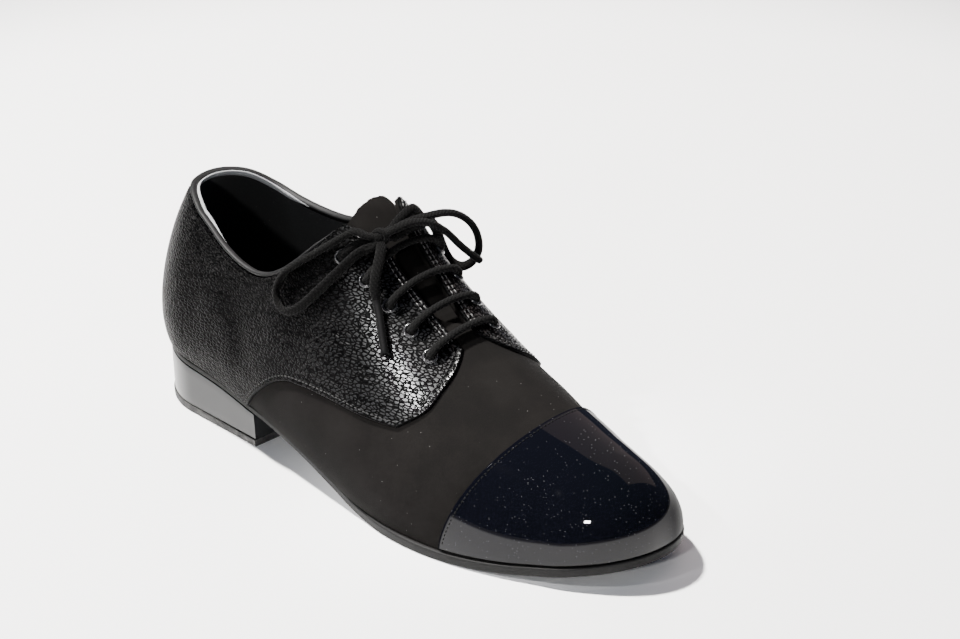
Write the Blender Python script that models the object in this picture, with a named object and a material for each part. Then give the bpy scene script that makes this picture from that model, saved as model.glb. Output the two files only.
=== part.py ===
"""A right-foot practice dance shoe with open lacing, a toe cap and a low block heel.

Everything is worked out in millimetres in the shoe's own frame: x runs from the back of the
heel seat to the toe, y from the outer (lateral) side to the inner (medial) side, z up from the
floor. The whole assembly hangs on one empty that brings the middle of its box over the origin.
"""

import math

import bmesh
import bpy
import numpy as np
from mathutils import Vector

# Driving dimensions, in millimetres
MM = 0.001
LENGTH = 280.0
HEEL_ROUND = 33.0
TOE_ROUND = 31.0
TREAD_BACK = 172.0
TREAD_FRONT = 200.0
TOE_SPRING = 10.0
TOE_SPRING_CURVE = 1.9
SEAT_HEIGHT = 19.2
SEAT_FRONT = 45.0
SEAT_SLOPE = 6.2
SEAT_SLOPE_FRONT = 72.0
SOLE_THIN = 3.0
SOLE_THICK = 4.3
SOLE_THICKENS_FROM = 90.0
SOLE_THICKENS_RUN = 70.0
GAP = 0.35

# Heel block and lift: how far each stands inside the sole's outline
HEEL_FRONT = 77.0
HEEL_INSET_TOP = 0.3
HEEL_INSET_FOOT = 1.2
HEEL_BREAST_LEAN = 0.8
LIFT_HEIGHT = 3.2
LIFT_INSET_TOP = 0.8
LIFT_INSET_FOOT = 1.0

# Wall of the upper and of the pieces laid on it
WALL = 1.8
OVERLAY = 1.1
OVERLAY_GAP = 0.5
OVERLAY_OUT = OVERLAY_GAP + OVERLAY
OVERLAY_FOOT = 1.2
CAP_FOOT = 0.6
INSOLE = 2.0
INSOLE_CLEAR = 0.9
INSOLE_BACK = 2.0
INSOLE_FRONT = LENGTH - 1.0
TONGUE = 1.8
TONGUE_GAP = 1.0
BINDING_WIDE = 4.0
BINDING_TALL = 2.4
BINDING_GAP = 0.6
BINDING_END = 111.0

# Where the columns of the toe gather, and how steeply the ridge falls there
TOE_GATHER = 218.0
TOE_BACK = 26.0
TOE_SLOPE = -0.36
TOE_SLOPE_RUN = 25.0
BULGE_HEIGHT = 22.0
CREST_FULL = 2.0
CREST_FROM = 0.45

# Lace and eyelets
LACE = 3.4
LACE_STEP = 2.2 * LACE
EVEN_PASSES = 10
BAR_LIFT = 0.4
BAR_END_LIFT = 1.4
EYELET_BORE = 2.1
EYELET_BARREL = 2.5
EYELET_FLANGE = 3.5
EYELET_SLOPE = 0.5
EYELET_CROWN = 0.8
EYELET_DISH = 0.6
EYELET_HOLE = 2.9
EYELET_HOLE_DEPTH = 9.0
EYELET_SIDES = 8

# How finely a column of the upper's face is searched, and where the search for a plan line starts
SEARCH_STEPS = 201
REACH_START = 0.3

LATERAL, MEDIAL = -1, 1


class Table:
    """Named columns given at a few stations, read with a smooth curve between them."""

    def __init__(self, columns, rows):
        data = np.array(rows, float)
        self.stations = data[:, 0]
        self.columns = {name: data[:, i] for i, name in enumerate(columns)}

    def at(self, name, x):
        """Value of a column at x: cubic Hermite with slopes from the neighbours."""
        xs, ys = self.stations, self.columns[name]
        slopes = np.gradient(ys, xs)
        x = np.clip(x, xs[0], xs[-1])
        i = np.clip(np.searchsorted(xs, x, side="right") - 1, 0, len(xs) - 2)
        h = xs[i + 1] - xs[i]
        s = (x - xs[i]) / h
        start = ys[i] * (1 + 2 * s) * (1 - s) ** 2 + h * slopes[i] * s * (1 - s) ** 2
        end = ys[i + 1] * s * s * (3 - 2 * s) + h * slopes[i + 1] * s * s * (s - 1)
        return start + end


# Sole outline: middle line and half width, before the round ends are taken off
OUTLINE = Table(("x", "centre", "half_width"), [
    (0, -0.3, 31.6),
    (33, -0.7, 32.6),
    (60, -1.8, 32.8),
    (88, -4.4, 31.8),
    (110, -6.0, 32.5),
    (132, -6.4, 35.8),
    (155, -5.4, 41.9),
    (178, -3.5, 47.3),
    (198, -1.2, 48.9),
    (216, 0.9, 47.2),
    (232, 2.4, 43.3),
    (248, 3.6, 37.4),
    (262, 4.8, 33.8),
    (280, 5.2, 31.0),
])

# Cross-sections of the last: the ridge over the instep, how full each side is, how far it
# bulges over the sole, and the ledge of sole left outside it
SECTIONS = Table(
    ("x", "ridge_y", "ridge_z", "full_lateral", "full_medial", "bulge_lateral", "bulge_medial", "ledge"), [
        (0, 0.0, 112.0, 2.20, 2.20, 3.2, 3.2, 0.5),
        (33, 0.0, 114.0, 2.20, 2.30, 3.2, 3.4, 0.5),
        (68, 1.0, 121.0, 2.10, 2.25, 4.0, 4.6, 0.0),
        (97, 2.0, 125.0, 2.05, 2.40, 5.0, 7.5, -1.0),
        (118, 3.0, 118.0, 2.05, 2.70, 5.0, 7.0, -1.0),
        (141, 3.0, 97.5, 2.05, 2.50, 4.0, 5.0, -0.5),
        (165, 3.0, 80.5, 2.05, 2.30, 2.5, 2.5, 1.0),
        (180, 3.2, 72.0, 2.05, 2.10, 1.5, 1.2, 1.5),
        (200, 3.5, 63.5, 2.06, 1.85, 0.2, 0.5, 1.6),
        (220, 4.0, 57.2, 2.00, 1.54, -1.0, 0.0, 1.6),
        (240, 4.5, 52.2, 2.00, 1.46, -1.2, 0.0, 1.6),
        (260, 5.0, 49.0, 2.02, 1.46, -0.6, 0.5, 1.6),
        (280, 5.2, 47.4, 2.05, 2.05, 1.0, 1.0, 1.6),
    ])

# Height of the collar's top line on each side
COLLAR = Table(("x", "lateral", "medial"), [
    (0, 99.0, 99.0),
    (12, 99.4, 96.4),
    (26, 97.4, 91.2),
    (40, 92.4, 87.8),
    (54, 86.8, 86.8),
    (66, 83.8, 87.6),
    (77, 83.4, 90.0),
    (88, 87.3, 94.0),
    (99, 96.3, 100.2),
    (106, 104.2, 106.4),
    (112, 112.2, 113.0),
    (120, 124.0, 124.0),
])

# Plan line of the two facing edges along the throat, with their rounded top corners
FACING = Table(("x", "lateral", "medial"), [
    (106, -18.0, 18.0),
    (112, -15.4, 15.4),
    (117, -13.8, 12.2),
    (122, -11.4, 8.6),
    (128, -8.0, 6.8),
    (140, -7.4, 6.2),
    (155, -7.3, 4.6),
    (178, -7.4, 2.4),
])

# Lower edge of the quarters where they rise off the heel breast and run along the waist
WING = Table(("x", "height"), [
    (76, 21.6),
    (82, 28.4),
    (89, 35.0),
    (97, 41.4),
    (105, 45.2),
    (115, 46.8),
    (130, 47.4),
    (163, 46.6),
    (178, 47.6),
])

# Half width of the back strip up its height
STRIP = Table(("height", "half_width"), [
    (24, 19.0),
    (36, 13.5),
    (52, 9.5),
    (70, 9.5),
    (84, 11.5),
    (100, 13.5),
])

# Eyelets from the toe end up, by their plan places on the two facings
EYELET_COLUMNS = ("lateral_x", "lateral_y", "medial_x", "medial_y")
EYELETS = [
    (169.9, -19.6, 171.0, 14.6),
    (157.7, -18.8, 159.4, 15.4),
    (145.3, -19.0, 147.4, 16.6),
    (132.6, -20.2, 135.2, 17.6),
    (119.9, -21.6, 122.8, 18.6),
]

QUARTER_FRONT = {LATERAL: 182.7, MEDIAL: 186.2}
QUARTER_TOP_LEAN = {LATERAL: 6.0, MEDIAL: 12.0}
QUARTER_TIP_ROUND = 10.5
QUARTER_TIP_SHARE = 0.4
QUARTER_TIP_CURVE = 2.6
QUARTER_LEAN_FROM = 0.5
QUARTER_LEAN_CURVE = 2.5
STRIP_PROBE = 0.05
ROW_CROWD = 1.1
CORNER = 114.0
CORNER_REACH = 13.0
CORNER_CROWD = 1.6
THROAT_END = 167.0
THROAT_ROUND = 9.0
CAP_SEAM = {LATERAL: (203.5, 1.3), MEDIAL: (205.0, 0.9)}
CAP_SEAM_RIDGE = 220.0
TONGUE_TOP = 113.5
TONGUE_FRONT = 182.0
TONGUE_MIDDLE = -0.5
TONGUE_HALF_FRONT = 15.0
TONGUE_HALF_TOP = 24.0
TONGUE_WIDE_FROM = 135.0
TONGUE_GRID = (11, 9)

# Lace routes as (x, y, z): the bow stands off to the medial side and lies on the lateral quarter
KNOT = (132.6, -12.2, 111.6)
KNOT_RADII = (4.6, 4.4, 3.6)
LOOP_MEDIAL = [
    (134.2, -5.4, 113.4), (134.0, 5.1, 113.9), (133.6, 15.3, 112.6), (133.6, 25.0, 110.9),
    (135.0, 32.0, 107.8), (138.0, 36.4, 102.8), (140.0, 38.0, 96.2), (140.0, 37.6, 90.0),
    (137.6, 35.0, 84.8), (133.0, 32.4, 82.8), (128.6, 30.4, 86.4), (126.8, 28.6, 93.0),
    (127.6, 24.1, 102.7), (129.8, 18.8, 107.6), (132.2, 12.9, 109.2), (133.4, 6.0, 110.3),
    (133.8, -5.4, 109.4),
]
END_MEDIAL = [
    (137.4, -8.4, 115.4), (138.2, -2.0, 116.2), (138.2, 4.6, 114.8), (138.2, 11.0, 112.3),
    (139.8, 18.4, 106.6), (142.0, 25.5, 97.9), (145.0, 28.8, 94.0), (147.6, 31.8, 90.6),
]
# Over the throat the route is (x, y, lift) and on the lateral quarter (x, z, lift), lift being
# the distance off the upper's face
FEED_LATERAL = [(120.5, 101.8, 5.4), (123.0, 104.4, 4.0), (125.2, 105.8, 3.9)]
FEED_MEDIAL = [
    (123.2, 17.4, 5.2), (124.4, 11.0, 4.2), (125.8, 6.0, 3.6), (127.2, 0.6, 2.6), (128.2, -2.6, 2.4),
]
LOOP_LATERAL = [
    (124.4, 107.0, 7.8), (121.0, 108.8, 7.2), (114.6, 104.0, 4.8), (108.2, 98.8, 4.0), (101.4, 93.4, 4.0),
    (95.6, 87.4, 4.0), (93.8, 80.6, 4.0), (97.6, 74.8, 4.0), (104.4, 74.6, 4.0), (111.4, 80.2, 4.0),
    (117.4, 87.8, 4.0), (122.6, 96.0, 4.4), (125.8, 102.2, 6.0), (128.4, 103.8, 6.6),
]
END_LATERAL = [
    (131.4, 101.8, 8.6), (134.4, 96.4, 8.7), (137.0, 91.6, 7.8), (141.2, 86.2, 4.9), (146.2, 80.6, 4.8),
    (151.0, 74.8, 4.4), (155.0, 70.0, 4.2),
]

COLOURS = {
    "nubuck": ((0.020, 0.019, 0.018), 0.90),
    "grain": ((0.014, 0.014, 0.015), 0.45),
    "patent": ((0.006, 0.006, 0.008), 0.08),
    "sole": ((0.022, 0.021, 0.020), 0.55),
    "heel": ((0.010, 0.010, 0.011), 0.18),
    "rubber": ((0.030, 0.029, 0.028), 0.80),
    "lining": ((0.050, 0.050, 0.050), 0.90),
    "binding": ((0.012, 0.012, 0.012), 0.50),
    "enamel": ((0.010, 0.010, 0.010), 0.25),
    "lace": ((0.016, 0.016, 0.016), 0.75),
}


def smooth_step(a, b, x):
    """0 before a, 1 after b, with an S-shaped run between (a may be above b)."""
    s = np.clip((x - a) / (b - a), 0, 1)
    return s * s * (3 - 2 * s)


def outline(x):
    """Middle line and half width of the sole at x, with both ends rounded off."""
    heel = np.clip(1 - x / HEEL_ROUND, 0, 1)
    toe = np.clip(1 - (LENGTH - x) / TOE_ROUND, 0, 1)
    half = OUTLINE.at("half_width", x) * np.sqrt(1 - heel ** 2) * np.sqrt(1 - toe ** 2)
    return OUTLINE.at("centre", x), half


def sole_bottom(x):
    """Underside of the sole: toe spring, flat tread, arch and sloping heel seat."""
    spring = TOE_SPRING * np.clip((x - TREAD_FRONT) / (LENGTH - TREAD_FRONT), 0, 1) ** TOE_SPRING_CURVE
    arch = SEAT_HEIGHT * smooth_step(TREAD_BACK, SEAT_FRONT, x)
    seat = SEAT_SLOPE * np.clip(1 - x / SEAT_SLOPE_FRONT, 0, 1)
    return spring + arch + seat


def sole_top(x):
    """Upper face of the sole, thinner under the waist and heel."""
    tread = np.clip((x - SOLE_THICKENS_FROM) / SOLE_THICKENS_RUN, 0, 1)
    return sole_bottom(x) + SOLE_THIN + (SOLE_THICK - SOLE_THIN) * tread


def station(theta):
    """Distance from the heel for a loop angle: 0 at the heel back, pi at the toe tip."""
    return LENGTH * (1 - np.cos(theta)) / 2


def angle(x, side):
    """Loop angle of a station: 0 to pi runs up the lateral side, pi to 2 pi back down the medial."""
    theta = np.arccos(1 - 2 * np.clip(x, 0, LENGTH) / LENGTH)
    return np.where(np.asarray(side) < 0, theta, 2 * np.pi - theta)


def spine(theta):
    """Plan place and height of the ridge that a column runs up to."""
    x = station(theta)
    gather = np.clip((x - TOE_GATHER) / (LENGTH - TOE_GATHER), 0, 1)
    along = np.maximum(x, HEEL_ROUND) - TOE_BACK * gather ** 2
    return along, SECTIONS.at("ridge_y", x), SECTIONS.at("ridge_z", x)


def side_of(theta):
    """-1 on the lateral half of the loop, +1 on the medial half."""
    return np.where(np.sin(theta) >= 0, LATERAL, MEDIAL)


def plan(theta, inset):
    """Point of the sole outline moved inwards towards the ridge, with that direction and the run left."""
    x = station(theta)
    centre, half = outline(x)
    along, ridge_y, _ = spine(theta)
    edge = np.stack([x, centre + side_of(theta) * half], -1)
    to_ridge = np.stack([along, ridge_y], -1) - edge
    run = np.maximum(np.linalg.norm(to_ridge, axis=-1), 1e-6)
    inwards = to_ridge / run[..., None]
    return edge + inwards * np.asarray(inset)[..., None], inwards, run - inset


def surface(theta, t):
    """Outer face of the upper: columns that rise from the sole (t = 0) to the ridge (t = 1).

    Each column is a superellipse quarter between its foot and the ridge, rounded off where a
    flat flank meets the ridge, and pushed outwards by a bulge that is strongest a little above
    the sole and dies out at the ridge.
    """
    theta, t = np.broadcast_arrays(np.asarray(theta, float), np.asarray(t, float))
    x = station(theta)
    lateral = side_of(theta) < 0
    foot, inwards, run = plan(theta, SECTIONS.at("ledge", x))
    along, _, ridge_z = spine(theta)
    full = np.where(lateral, SECTIONS.at("full_lateral", x), SECTIONS.at("full_medial", x))
    full = full + np.maximum(CREST_FULL - full, 0) * smooth_step(CREST_FROM, 1, t)
    bulge = np.where(lateral, SECTIONS.at("bulge_lateral", x), SECTIONS.at("bulge_medial", x))
    phi = np.clip(t, 0, 1) * np.pi / 2
    rho = 1 - np.clip(np.cos(phi), 0, 1) ** (2 / full)
    base = sole_top(x) + GAP
    rise = (ridge_z - base) * np.sin(phi) ** (2 / full)
    swell = rise / BULGE_HEIGHT * np.exp(1 - rise / BULGE_HEIGHT) * (1 - rho ** 3)
    place = foot + inwards * (run * rho - bulge * swell)[..., None]
    fall = TOE_SLOPE * smooth_step(TOE_GATHER, TOE_GATHER + TOE_SLOPE_RUN, x)
    crown = fall * np.maximum(foot[..., 0] - along, 0) * (1 - rho) * rho
    return np.concatenate([place, (base + rise + crown)[..., None]], -1)


def normal(theta, t, step=1e-3):
    """Outward direction of the upper's face, from small steps along its two parameters."""
    theta, t = np.broadcast_arrays(np.asarray(theta, float), np.asarray(t, float))
    around = surface(theta + step, t) - surface(theta - step, t)
    up = surface(theta, np.minimum(t + step, 1)) - surface(theta, np.maximum(t - step, 0))
    n = np.cross(around, up)
    return n / np.linalg.norm(n, axis=-1, keepdims=True)


def t_at_height(theta, z):
    """Height parameter at which each column reaches the height z."""
    theta, z = np.broadcast_arrays(np.atleast_1d(theta), np.atleast_1d(z))
    samples = np.linspace(0, 1, SEARCH_STEPS)
    columns = surface(theta[:, None], samples[None, :])[..., 2]
    return np.array([np.interp(goal, column, samples) for goal, column in zip(z, columns)])


def t_at_reach(theta, y):
    """Height parameter at which each column comes in to the plan line y."""
    theta, y = np.broadcast_arrays(np.atleast_1d(theta), np.atleast_1d(y))
    samples = np.linspace(REACH_START, 1, SEARCH_STEPS)
    inward = -side_of(theta)
    columns = surface(theta[:, None], samples[None, :])[..., 1] * inward[:, None]
    return np.array([np.interp(goal, column, samples) for goal, column in zip(y * inward, columns)])


def over(x, y):
    """Loop angle and height parameter of the upper's face above the plan point (x, y)."""
    side = np.where(np.asarray(y) < SECTIONS.at("ridge_y", x), LATERAL, MEDIAL)
    theta = angle(x, side)
    return theta, t_at_reach(theta, y)


def by_side(table, theta):
    """Column of a lateral and medial table for each loop angle."""
    x = station(theta)
    return np.where(side_of(theta) < 0, table.at("lateral", x), table.at("medial", x))


def top_limit(theta, throat_end):
    """Height parameter of the upper's rim: under the binding, along the facings, then the ridge."""
    x = station(theta)
    collar = t_at_height(theta, by_side(COLLAR, theta) - BINDING_TALL - BINDING_GAP)
    facing_y = by_side(FACING, theta)
    close = np.clip((x - throat_end + THROAT_ROUND) / THROAT_ROUND, 0, 1)
    ridge_y = SECTIONS.at("ridge_y", x)
    facing_y = ridge_y + (facing_y - ridge_y) * np.sqrt(1 - close ** 2)
    facing = t_at_reach(theta, facing_y)
    facing = np.where(x >= throat_end, 1.0, facing)
    return np.where(x < FACING.stations[0], collar, np.minimum(collar, facing))


def new_object(name, mesh, finish, parent):
    """Object with its own plain material, hung on the assembly's empty."""
    item = bpy.data.objects.new(name, mesh)
    bpy.context.collection.objects.link(item)
    item.parent = parent
    colour, roughness = COLOURS[finish]
    material = bpy.data.materials.new(name)
    material.use_nodes = True
    shader = material.node_tree.nodes["Principled BSDF"]
    shader.inputs["Base Color"].default_value = (*colour, 1.0)
    shader.inputs["Roughness"].default_value = roughness
    item.data.materials.append(material)
    return item


def solid(name, points, faces):
    """Closed mesh from millimetre points and faces, with its faces turned outwards."""
    mesh = bpy.data.meshes.new(name)
    mesh.from_pydata((np.asarray(points) * MM).tolist(), [], faces)
    bm = bmesh.new()
    bm.from_mesh(mesh)
    bmesh.ops.remove_doubles(bm, verts=bm.verts, dist=1e-6)
    bmesh.ops.dissolve_degenerate(bm, edges=bm.edges, dist=1e-6)
    bmesh.ops.recalc_face_normals(bm, faces=bm.faces)
    bm.to_mesh(mesh)
    bm.free()
    mesh.shade_smooth()
    mesh.set_sharp_from_angle(angle=math.radians(40))
    return mesh


def grid_faces(rows, columns, wrap=False):
    """Quads of a grid of points numbered row by row, closed round in its rows when wrap is set."""
    last = rows if wrap else rows - 1
    faces = []
    for i in range(last):
        for j in range(columns - 1):
            a, b = i * columns + j, ((i + 1) % rows) * columns + j
            faces.append((a, b, b + 1, a + 1))
    return faces


def shell(name, theta, t, inner, outer, wrap=False):
    """Wall between two offsets of the upper's face, over a grid of loop angles and heights.

    Points that fall together, as on the ridge, become one, and every open edge is walled.
    """
    rows, columns = theta.shape
    face = surface(theta, t).reshape(-1, 3)
    out = normal(theta, t).reshape(-1, 3)
    _, first, index = np.unique(np.round(face, 3), axis=0, return_index=True, return_inverse=True)
    index = index.reshape(-1)
    count = len(first)
    merged = np.zeros((count, 3))
    np.add.at(merged, index, out)
    merged /= np.linalg.norm(merged, axis=1, keepdims=True)
    points = np.concatenate([face[first] + merged * outer, face[first] + merged * inner])
    sheet = []
    for quad in grid_faces(rows, columns, wrap):
        corners = list(dict.fromkeys(int(index[v]) for v in quad))
        if len(corners) > 2:
            sheet.append(tuple(corners))
    edges = {}
    for corners in sheet:
        for a, b in zip(corners, corners[1:] + corners[:1]):
            edges[(a, b)] = edges.get((a, b), 0) + 1
    rim = [(a, b) for a, b in edges if (b, a) not in edges]
    walls = [(b, a, a + count, b + count) for a, b in rim]
    back = [tuple(v + count for v in reversed(corners)) for corners in sheet]
    return solid(name, points, sheet + back + walls)


def slab(name, top, bottom):
    """Solid between two strips of left and right points: arrays of stations, side, xyz."""
    n = len(top)
    points = np.concatenate([top.reshape(-1, 3), bottom.reshape(-1, 3)])
    faces = []
    for i in range(n - 1):
        a, b = 2 * i, 2 * i + 2
        faces.append((a, b, b + 1, a + 1))
        faces.append((2 * n + a + 1, 2 * n + b + 1, 2 * n + b, 2 * n + a))
        faces.append((a, 2 * n + a, 2 * n + b, b))
        faces.append((b + 1, 2 * n + b + 1, 2 * n + a + 1, a + 1))
    end = 2 * n - 2
    faces.append((0, 1, 2 * n + 1, 2 * n))
    faces.append((end + 1, end, 2 * n + end, 2 * n + end + 1))
    return solid(name, points, faces)


def strip_points(x, inset, z):
    """Left and right outline points at each station, moved in by inset, at heights z."""
    sides = [plan(angle(x, side), np.full_like(x, inset))[0] for side in (LATERAL, MEDIAL)]
    return np.stack([np.column_stack([place, z]) for place in sides], 1)


def end_packed(count, first, last):
    """Stations that crowd towards both ends, where the outline turns."""
    return first + (last - first) * (1 - np.cos(np.linspace(0, np.pi, count))) / 2


def make_outsole(parent):
    """Thin leather sole with its arch, flat tread and toe spring."""
    x = end_packed(46, 0.0, LENGTH)
    mesh = slab("outsole", strip_points(x, 0.0, sole_top(x)), strip_points(x, 0.0, sole_bottom(x)))
    return new_object("outsole", mesh, "sole", parent)


def heel_strip(inset, z):
    """Outline of the heel from its round back to the straight breast."""
    x = HEEL_FRONT * (1 - np.cos(np.linspace(0, np.pi / 2, 16)))
    points = strip_points(x, inset, z(x))
    points[0, :, 1] = 0.0
    return points


def make_heel(parent):
    """Block heel, a little smaller at its foot than under the sole."""
    top = heel_strip(HEEL_INSET_TOP, lambda x: sole_bottom(x) - GAP)
    bottom = heel_strip(HEEL_INSET_FOOT, lambda x: np.full_like(x, LIFT_HEIGHT + GAP))
    bottom[-1, :, 0] = HEEL_FRONT - HEEL_BREAST_LEAN
    return new_object("heel", slab("heel", top, bottom), "heel", parent)


def make_heel_lift(parent):
    """Rubber lift under the heel, slightly proud of it, flat on the floor."""
    top = heel_strip(LIFT_INSET_TOP, lambda x: np.full_like(x, LIFT_HEIGHT))
    bottom = heel_strip(LIFT_INSET_FOOT, np.zeros_like)
    return new_object("heel_lift", slab("heel_lift", top, bottom), "rubber", parent)


def make_insole(parent):
    """Insole lying on the sole inside the upper's wall."""
    x = end_packed(30, INSOLE_BACK, INSOLE_FRONT)
    inset = SECTIONS.at("ledge", x) + WALL + INSOLE_CLEAR
    sides = [plan(angle(x, side), inset)[0] for side in (LATERAL, MEDIAL)]
    low = [np.column_stack([p, sole_top(p[:, 0]) + GAP]) for p in sides]
    bottom = np.stack(low, 1)
    top = bottom + np.array([0.0, 0.0, INSOLE])
    return new_object("insole", slab("insole", top, bottom), "lining", parent)


def wall_rows(count):
    """Rows up a wall from 0 to 1, closer together at its foot, where it bulges most."""
    return np.linspace(0, 1, count) ** ROW_CROWD


def loop_angles(count, first=0.0, last=np.pi):
    """Loop angles up one side, closer together where the collar turns into the facing."""
    theta = np.linspace(first, last, 401)
    crowd = 1 + CORNER_CROWD * np.exp(-((station(theta) - CORNER) / CORNER_REACH) ** 2)
    run = np.cumsum(crowd)
    return np.interp(np.linspace(run[0], run[-1], count), run, theta)


def make_upper(parent):
    """Hollow upper: vamp, lining and facings as one wall, open at collar, throat and underneath."""
    up_side = loop_angles(37)
    theta = np.concatenate([up_side, 2 * np.pi - up_side[-2:0:-1]])
    limit = top_limit(theta, THROAT_END)
    t = limit[:, None] * wall_rows(12)[None, :]
    mesh = shell("upper", np.broadcast_to(theta[:, None], t.shape), t, -WALL, 0.0, wrap=True)
    return new_object("upper", mesh, "nubuck", parent)


def strip_angle(t, clear):
    """Loop angle at which the back strip ends, plus a clearance in millimetres, at height t."""
    place = surface(np.full_like(t, STRIP_PROBE), t)
    reach = np.linalg.norm(place[..., :2] - surface(np.full_like(t, -STRIP_PROBE), t)[..., :2], axis=-1)
    half = STRIP.at("half_width", place[..., 2]) + clear
    return half * 2 * STRIP_PROBE / reach


def strip_height(v):
    """Height parameter up the heel back, from just over the sole (v = 0) to the collar (v = 1)."""
    middle = np.zeros(1)
    foot = t_at_height(middle, sole_top(middle) + GAP + OVERLAY_FOOT)[0]
    head = top_limit(middle, LENGTH)[0]
    return foot + (head - foot) * v


def quarter_front(side, v):
    """Station of the quarter's front edge: round at its lower tip, leaning back at the facing."""
    tip = QUARTER_TIP_ROUND * np.clip(1 - v / QUARTER_TIP_SHARE, 0, 1) ** QUARTER_TIP_CURVE
    upper = np.clip((v - QUARTER_LEAN_FROM) / (1 - QUARTER_LEAN_FROM), 0, 1)
    lean = QUARTER_TOP_LEAN[side] * upper ** QUARTER_LEAN_CURVE
    return QUARTER_FRONT[side] - tip - lean


def make_quarter(name, side, parent):
    """Quarter laid over the upper from the back strip to the facing, with its swept lower edge."""
    v = wall_rows(13)[None, :]
    back = strip_angle(strip_height(v), 2 * GAP)
    front = np.arccos(1 - 2 * quarter_front(side, v) / LENGTH)
    even = loop_angles(23, back.mean(), front.mean())[:, None]
    s = (even - back.mean()) / (front.mean() - back.mean())
    climb = even + (back - back.mean()) * (1 - s) ** 2 + (front - front.mean()) * s ** 2
    theta = climb if side == LATERAL else 2 * np.pi - climb
    flat = theta.ravel()
    x = station(flat)
    sole_line = t_at_height(flat, sole_top(x) + GAP + OVERLAY_FOOT)
    low = np.where(x < WING.stations[0], sole_line, t_at_height(flat, WING.at("height", x)))
    high = top_limit(flat, LENGTH)
    t = low + (high - low) * np.broadcast_to(v, theta.shape).ravel()
    mesh = shell(name, theta, t.reshape(theta.shape), OVERLAY_GAP, OVERLAY_OUT)
    return new_object(name, mesh, "grain", parent)


def make_back_strip(parent):
    """Patent strip up the heel back between the quarters."""
    u = np.linspace(-1, 1, 7)[:, None]
    v = wall_rows(12)[None, :]
    theta = u * strip_angle(strip_height(v), 0.0)
    foot = strip_height(0.0)
    head = top_limit(theta[:, -1], LENGTH)[:, None]
    t = foot + (head - foot) * v
    mesh = shell("back_strip", theta, t, OVERLAY_GAP, OVERLAY_OUT)
    return new_object("back_strip", mesh, "patent", parent)


def make_toe_cap(parent):
    """Patent cap over the toe, from its seam across the vamp to the tip."""
    across = np.linspace(-1, 1, 19)[None, :]
    t = 1 - np.abs(across)
    side = np.where(across < 0, LATERAL, MEDIAL)
    start, power = (np.where(side < 0, CAP_SEAM[LATERAL][i], CAP_SEAM[MEDIAL][i]) for i in (0, 1))
    seam = start + (CAP_SEAM_RIDGE - start) * t ** power
    s = np.sin(np.linspace(0, np.pi / 2, 11))[:, None]
    x = seam + (LENGTH - seam) * s
    theta = angle(x, np.broadcast_to(side, x.shape))
    foot = t_at_height(theta.ravel(), sole_top(x.ravel()) + GAP + CAP_FOOT).reshape(x.shape)
    t = foot + (1 - foot) * t
    return new_object("toe_cap", shell("toe_cap", theta, t, OVERLAY_GAP, OVERLAY_OUT), "patent", parent)


def make_tongue(parent):
    """Tongue under the facings, from inside the vamp to its cut top edge."""
    x = np.linspace(TONGUE_FRONT, TONGUE_TOP, TONGUE_GRID[0])
    y = np.linspace(-1, 1, TONGUE_GRID[1])
    widen = smooth_step(TONGUE_FRONT, TONGUE_WIDE_FROM, x)
    half = TONGUE_HALF_FRONT + (TONGUE_HALF_TOP - TONGUE_HALF_FRONT) * widen
    plan_x = np.broadcast_to(x[:, None], TONGUE_GRID)
    plan_y = TONGUE_MIDDLE + half[:, None] * y[None, :]
    theta, t = (part.reshape(TONGUE_GRID) for part in over(plan_x.ravel(), plan_y.ravel()))
    outer = -(WALL + TONGUE_GAP)
    mesh = shell("tongue", theta, t, outer - TONGUE, outer)
    return new_object("tongue", mesh, "nubuck", parent)


def make_binding(parent):
    """Rolled binding on the collar's rim from one facing corner round the heel to the other."""
    last = float(angle(BINDING_END, LATERAL))
    theta = np.linspace(-last, last, 43)
    t = top_limit(theta, LENGTH)
    out = normal(theta, t)
    up = surface(theta, t) - surface(theta, t - 0.01)
    up /= np.linalg.norm(up, axis=1, keepdims=True)
    core = surface(theta, t) + up * (BINDING_GAP + BINDING_TALL / 2) + out * (OVERLAY_OUT - WALL) / 2
    turn = np.linspace(0, 2 * np.pi, 6, endpoint=False)
    wide = out[:, None, :] * (np.cos(turn) * BINDING_WIDE / 2)[None, :, None]
    tall = up[:, None, :] * (np.sin(turn) * BINDING_TALL / 2)[None, :, None]
    rings = core[:, None, :] + wide + tall
    n, sides = rings.shape[:2]
    faces = []
    for i in range(n - 1):
        for j in range(sides):
            k = (j + 1) % sides
            faces.append((i * sides + j, i * sides + k, (i + 1) * sides + k, (i + 1) * sides + j))
    faces.append(tuple(range(sides)))
    faces.append(tuple((n - 1) * sides + j for j in range(sides)))
    mesh = solid("collar_binding", rings.reshape(-1, 3), faces)
    return new_object("collar_binding", mesh, "binding", parent)


def eyelet_seats():
    """Name, face point and outward direction of each eyelet."""
    seats = []
    for row, places in enumerate(EYELETS, start=1):
        place = dict(zip(EYELET_COLUMNS, places))
        for side in ("lateral", "medial"):
            theta, t = over(place[side + "_x"], place[side + "_y"])
            seats.append((f"eyelet_{side}_{row}", surface(theta, t)[0], normal(theta, t)[0]))
    return seats


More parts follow.
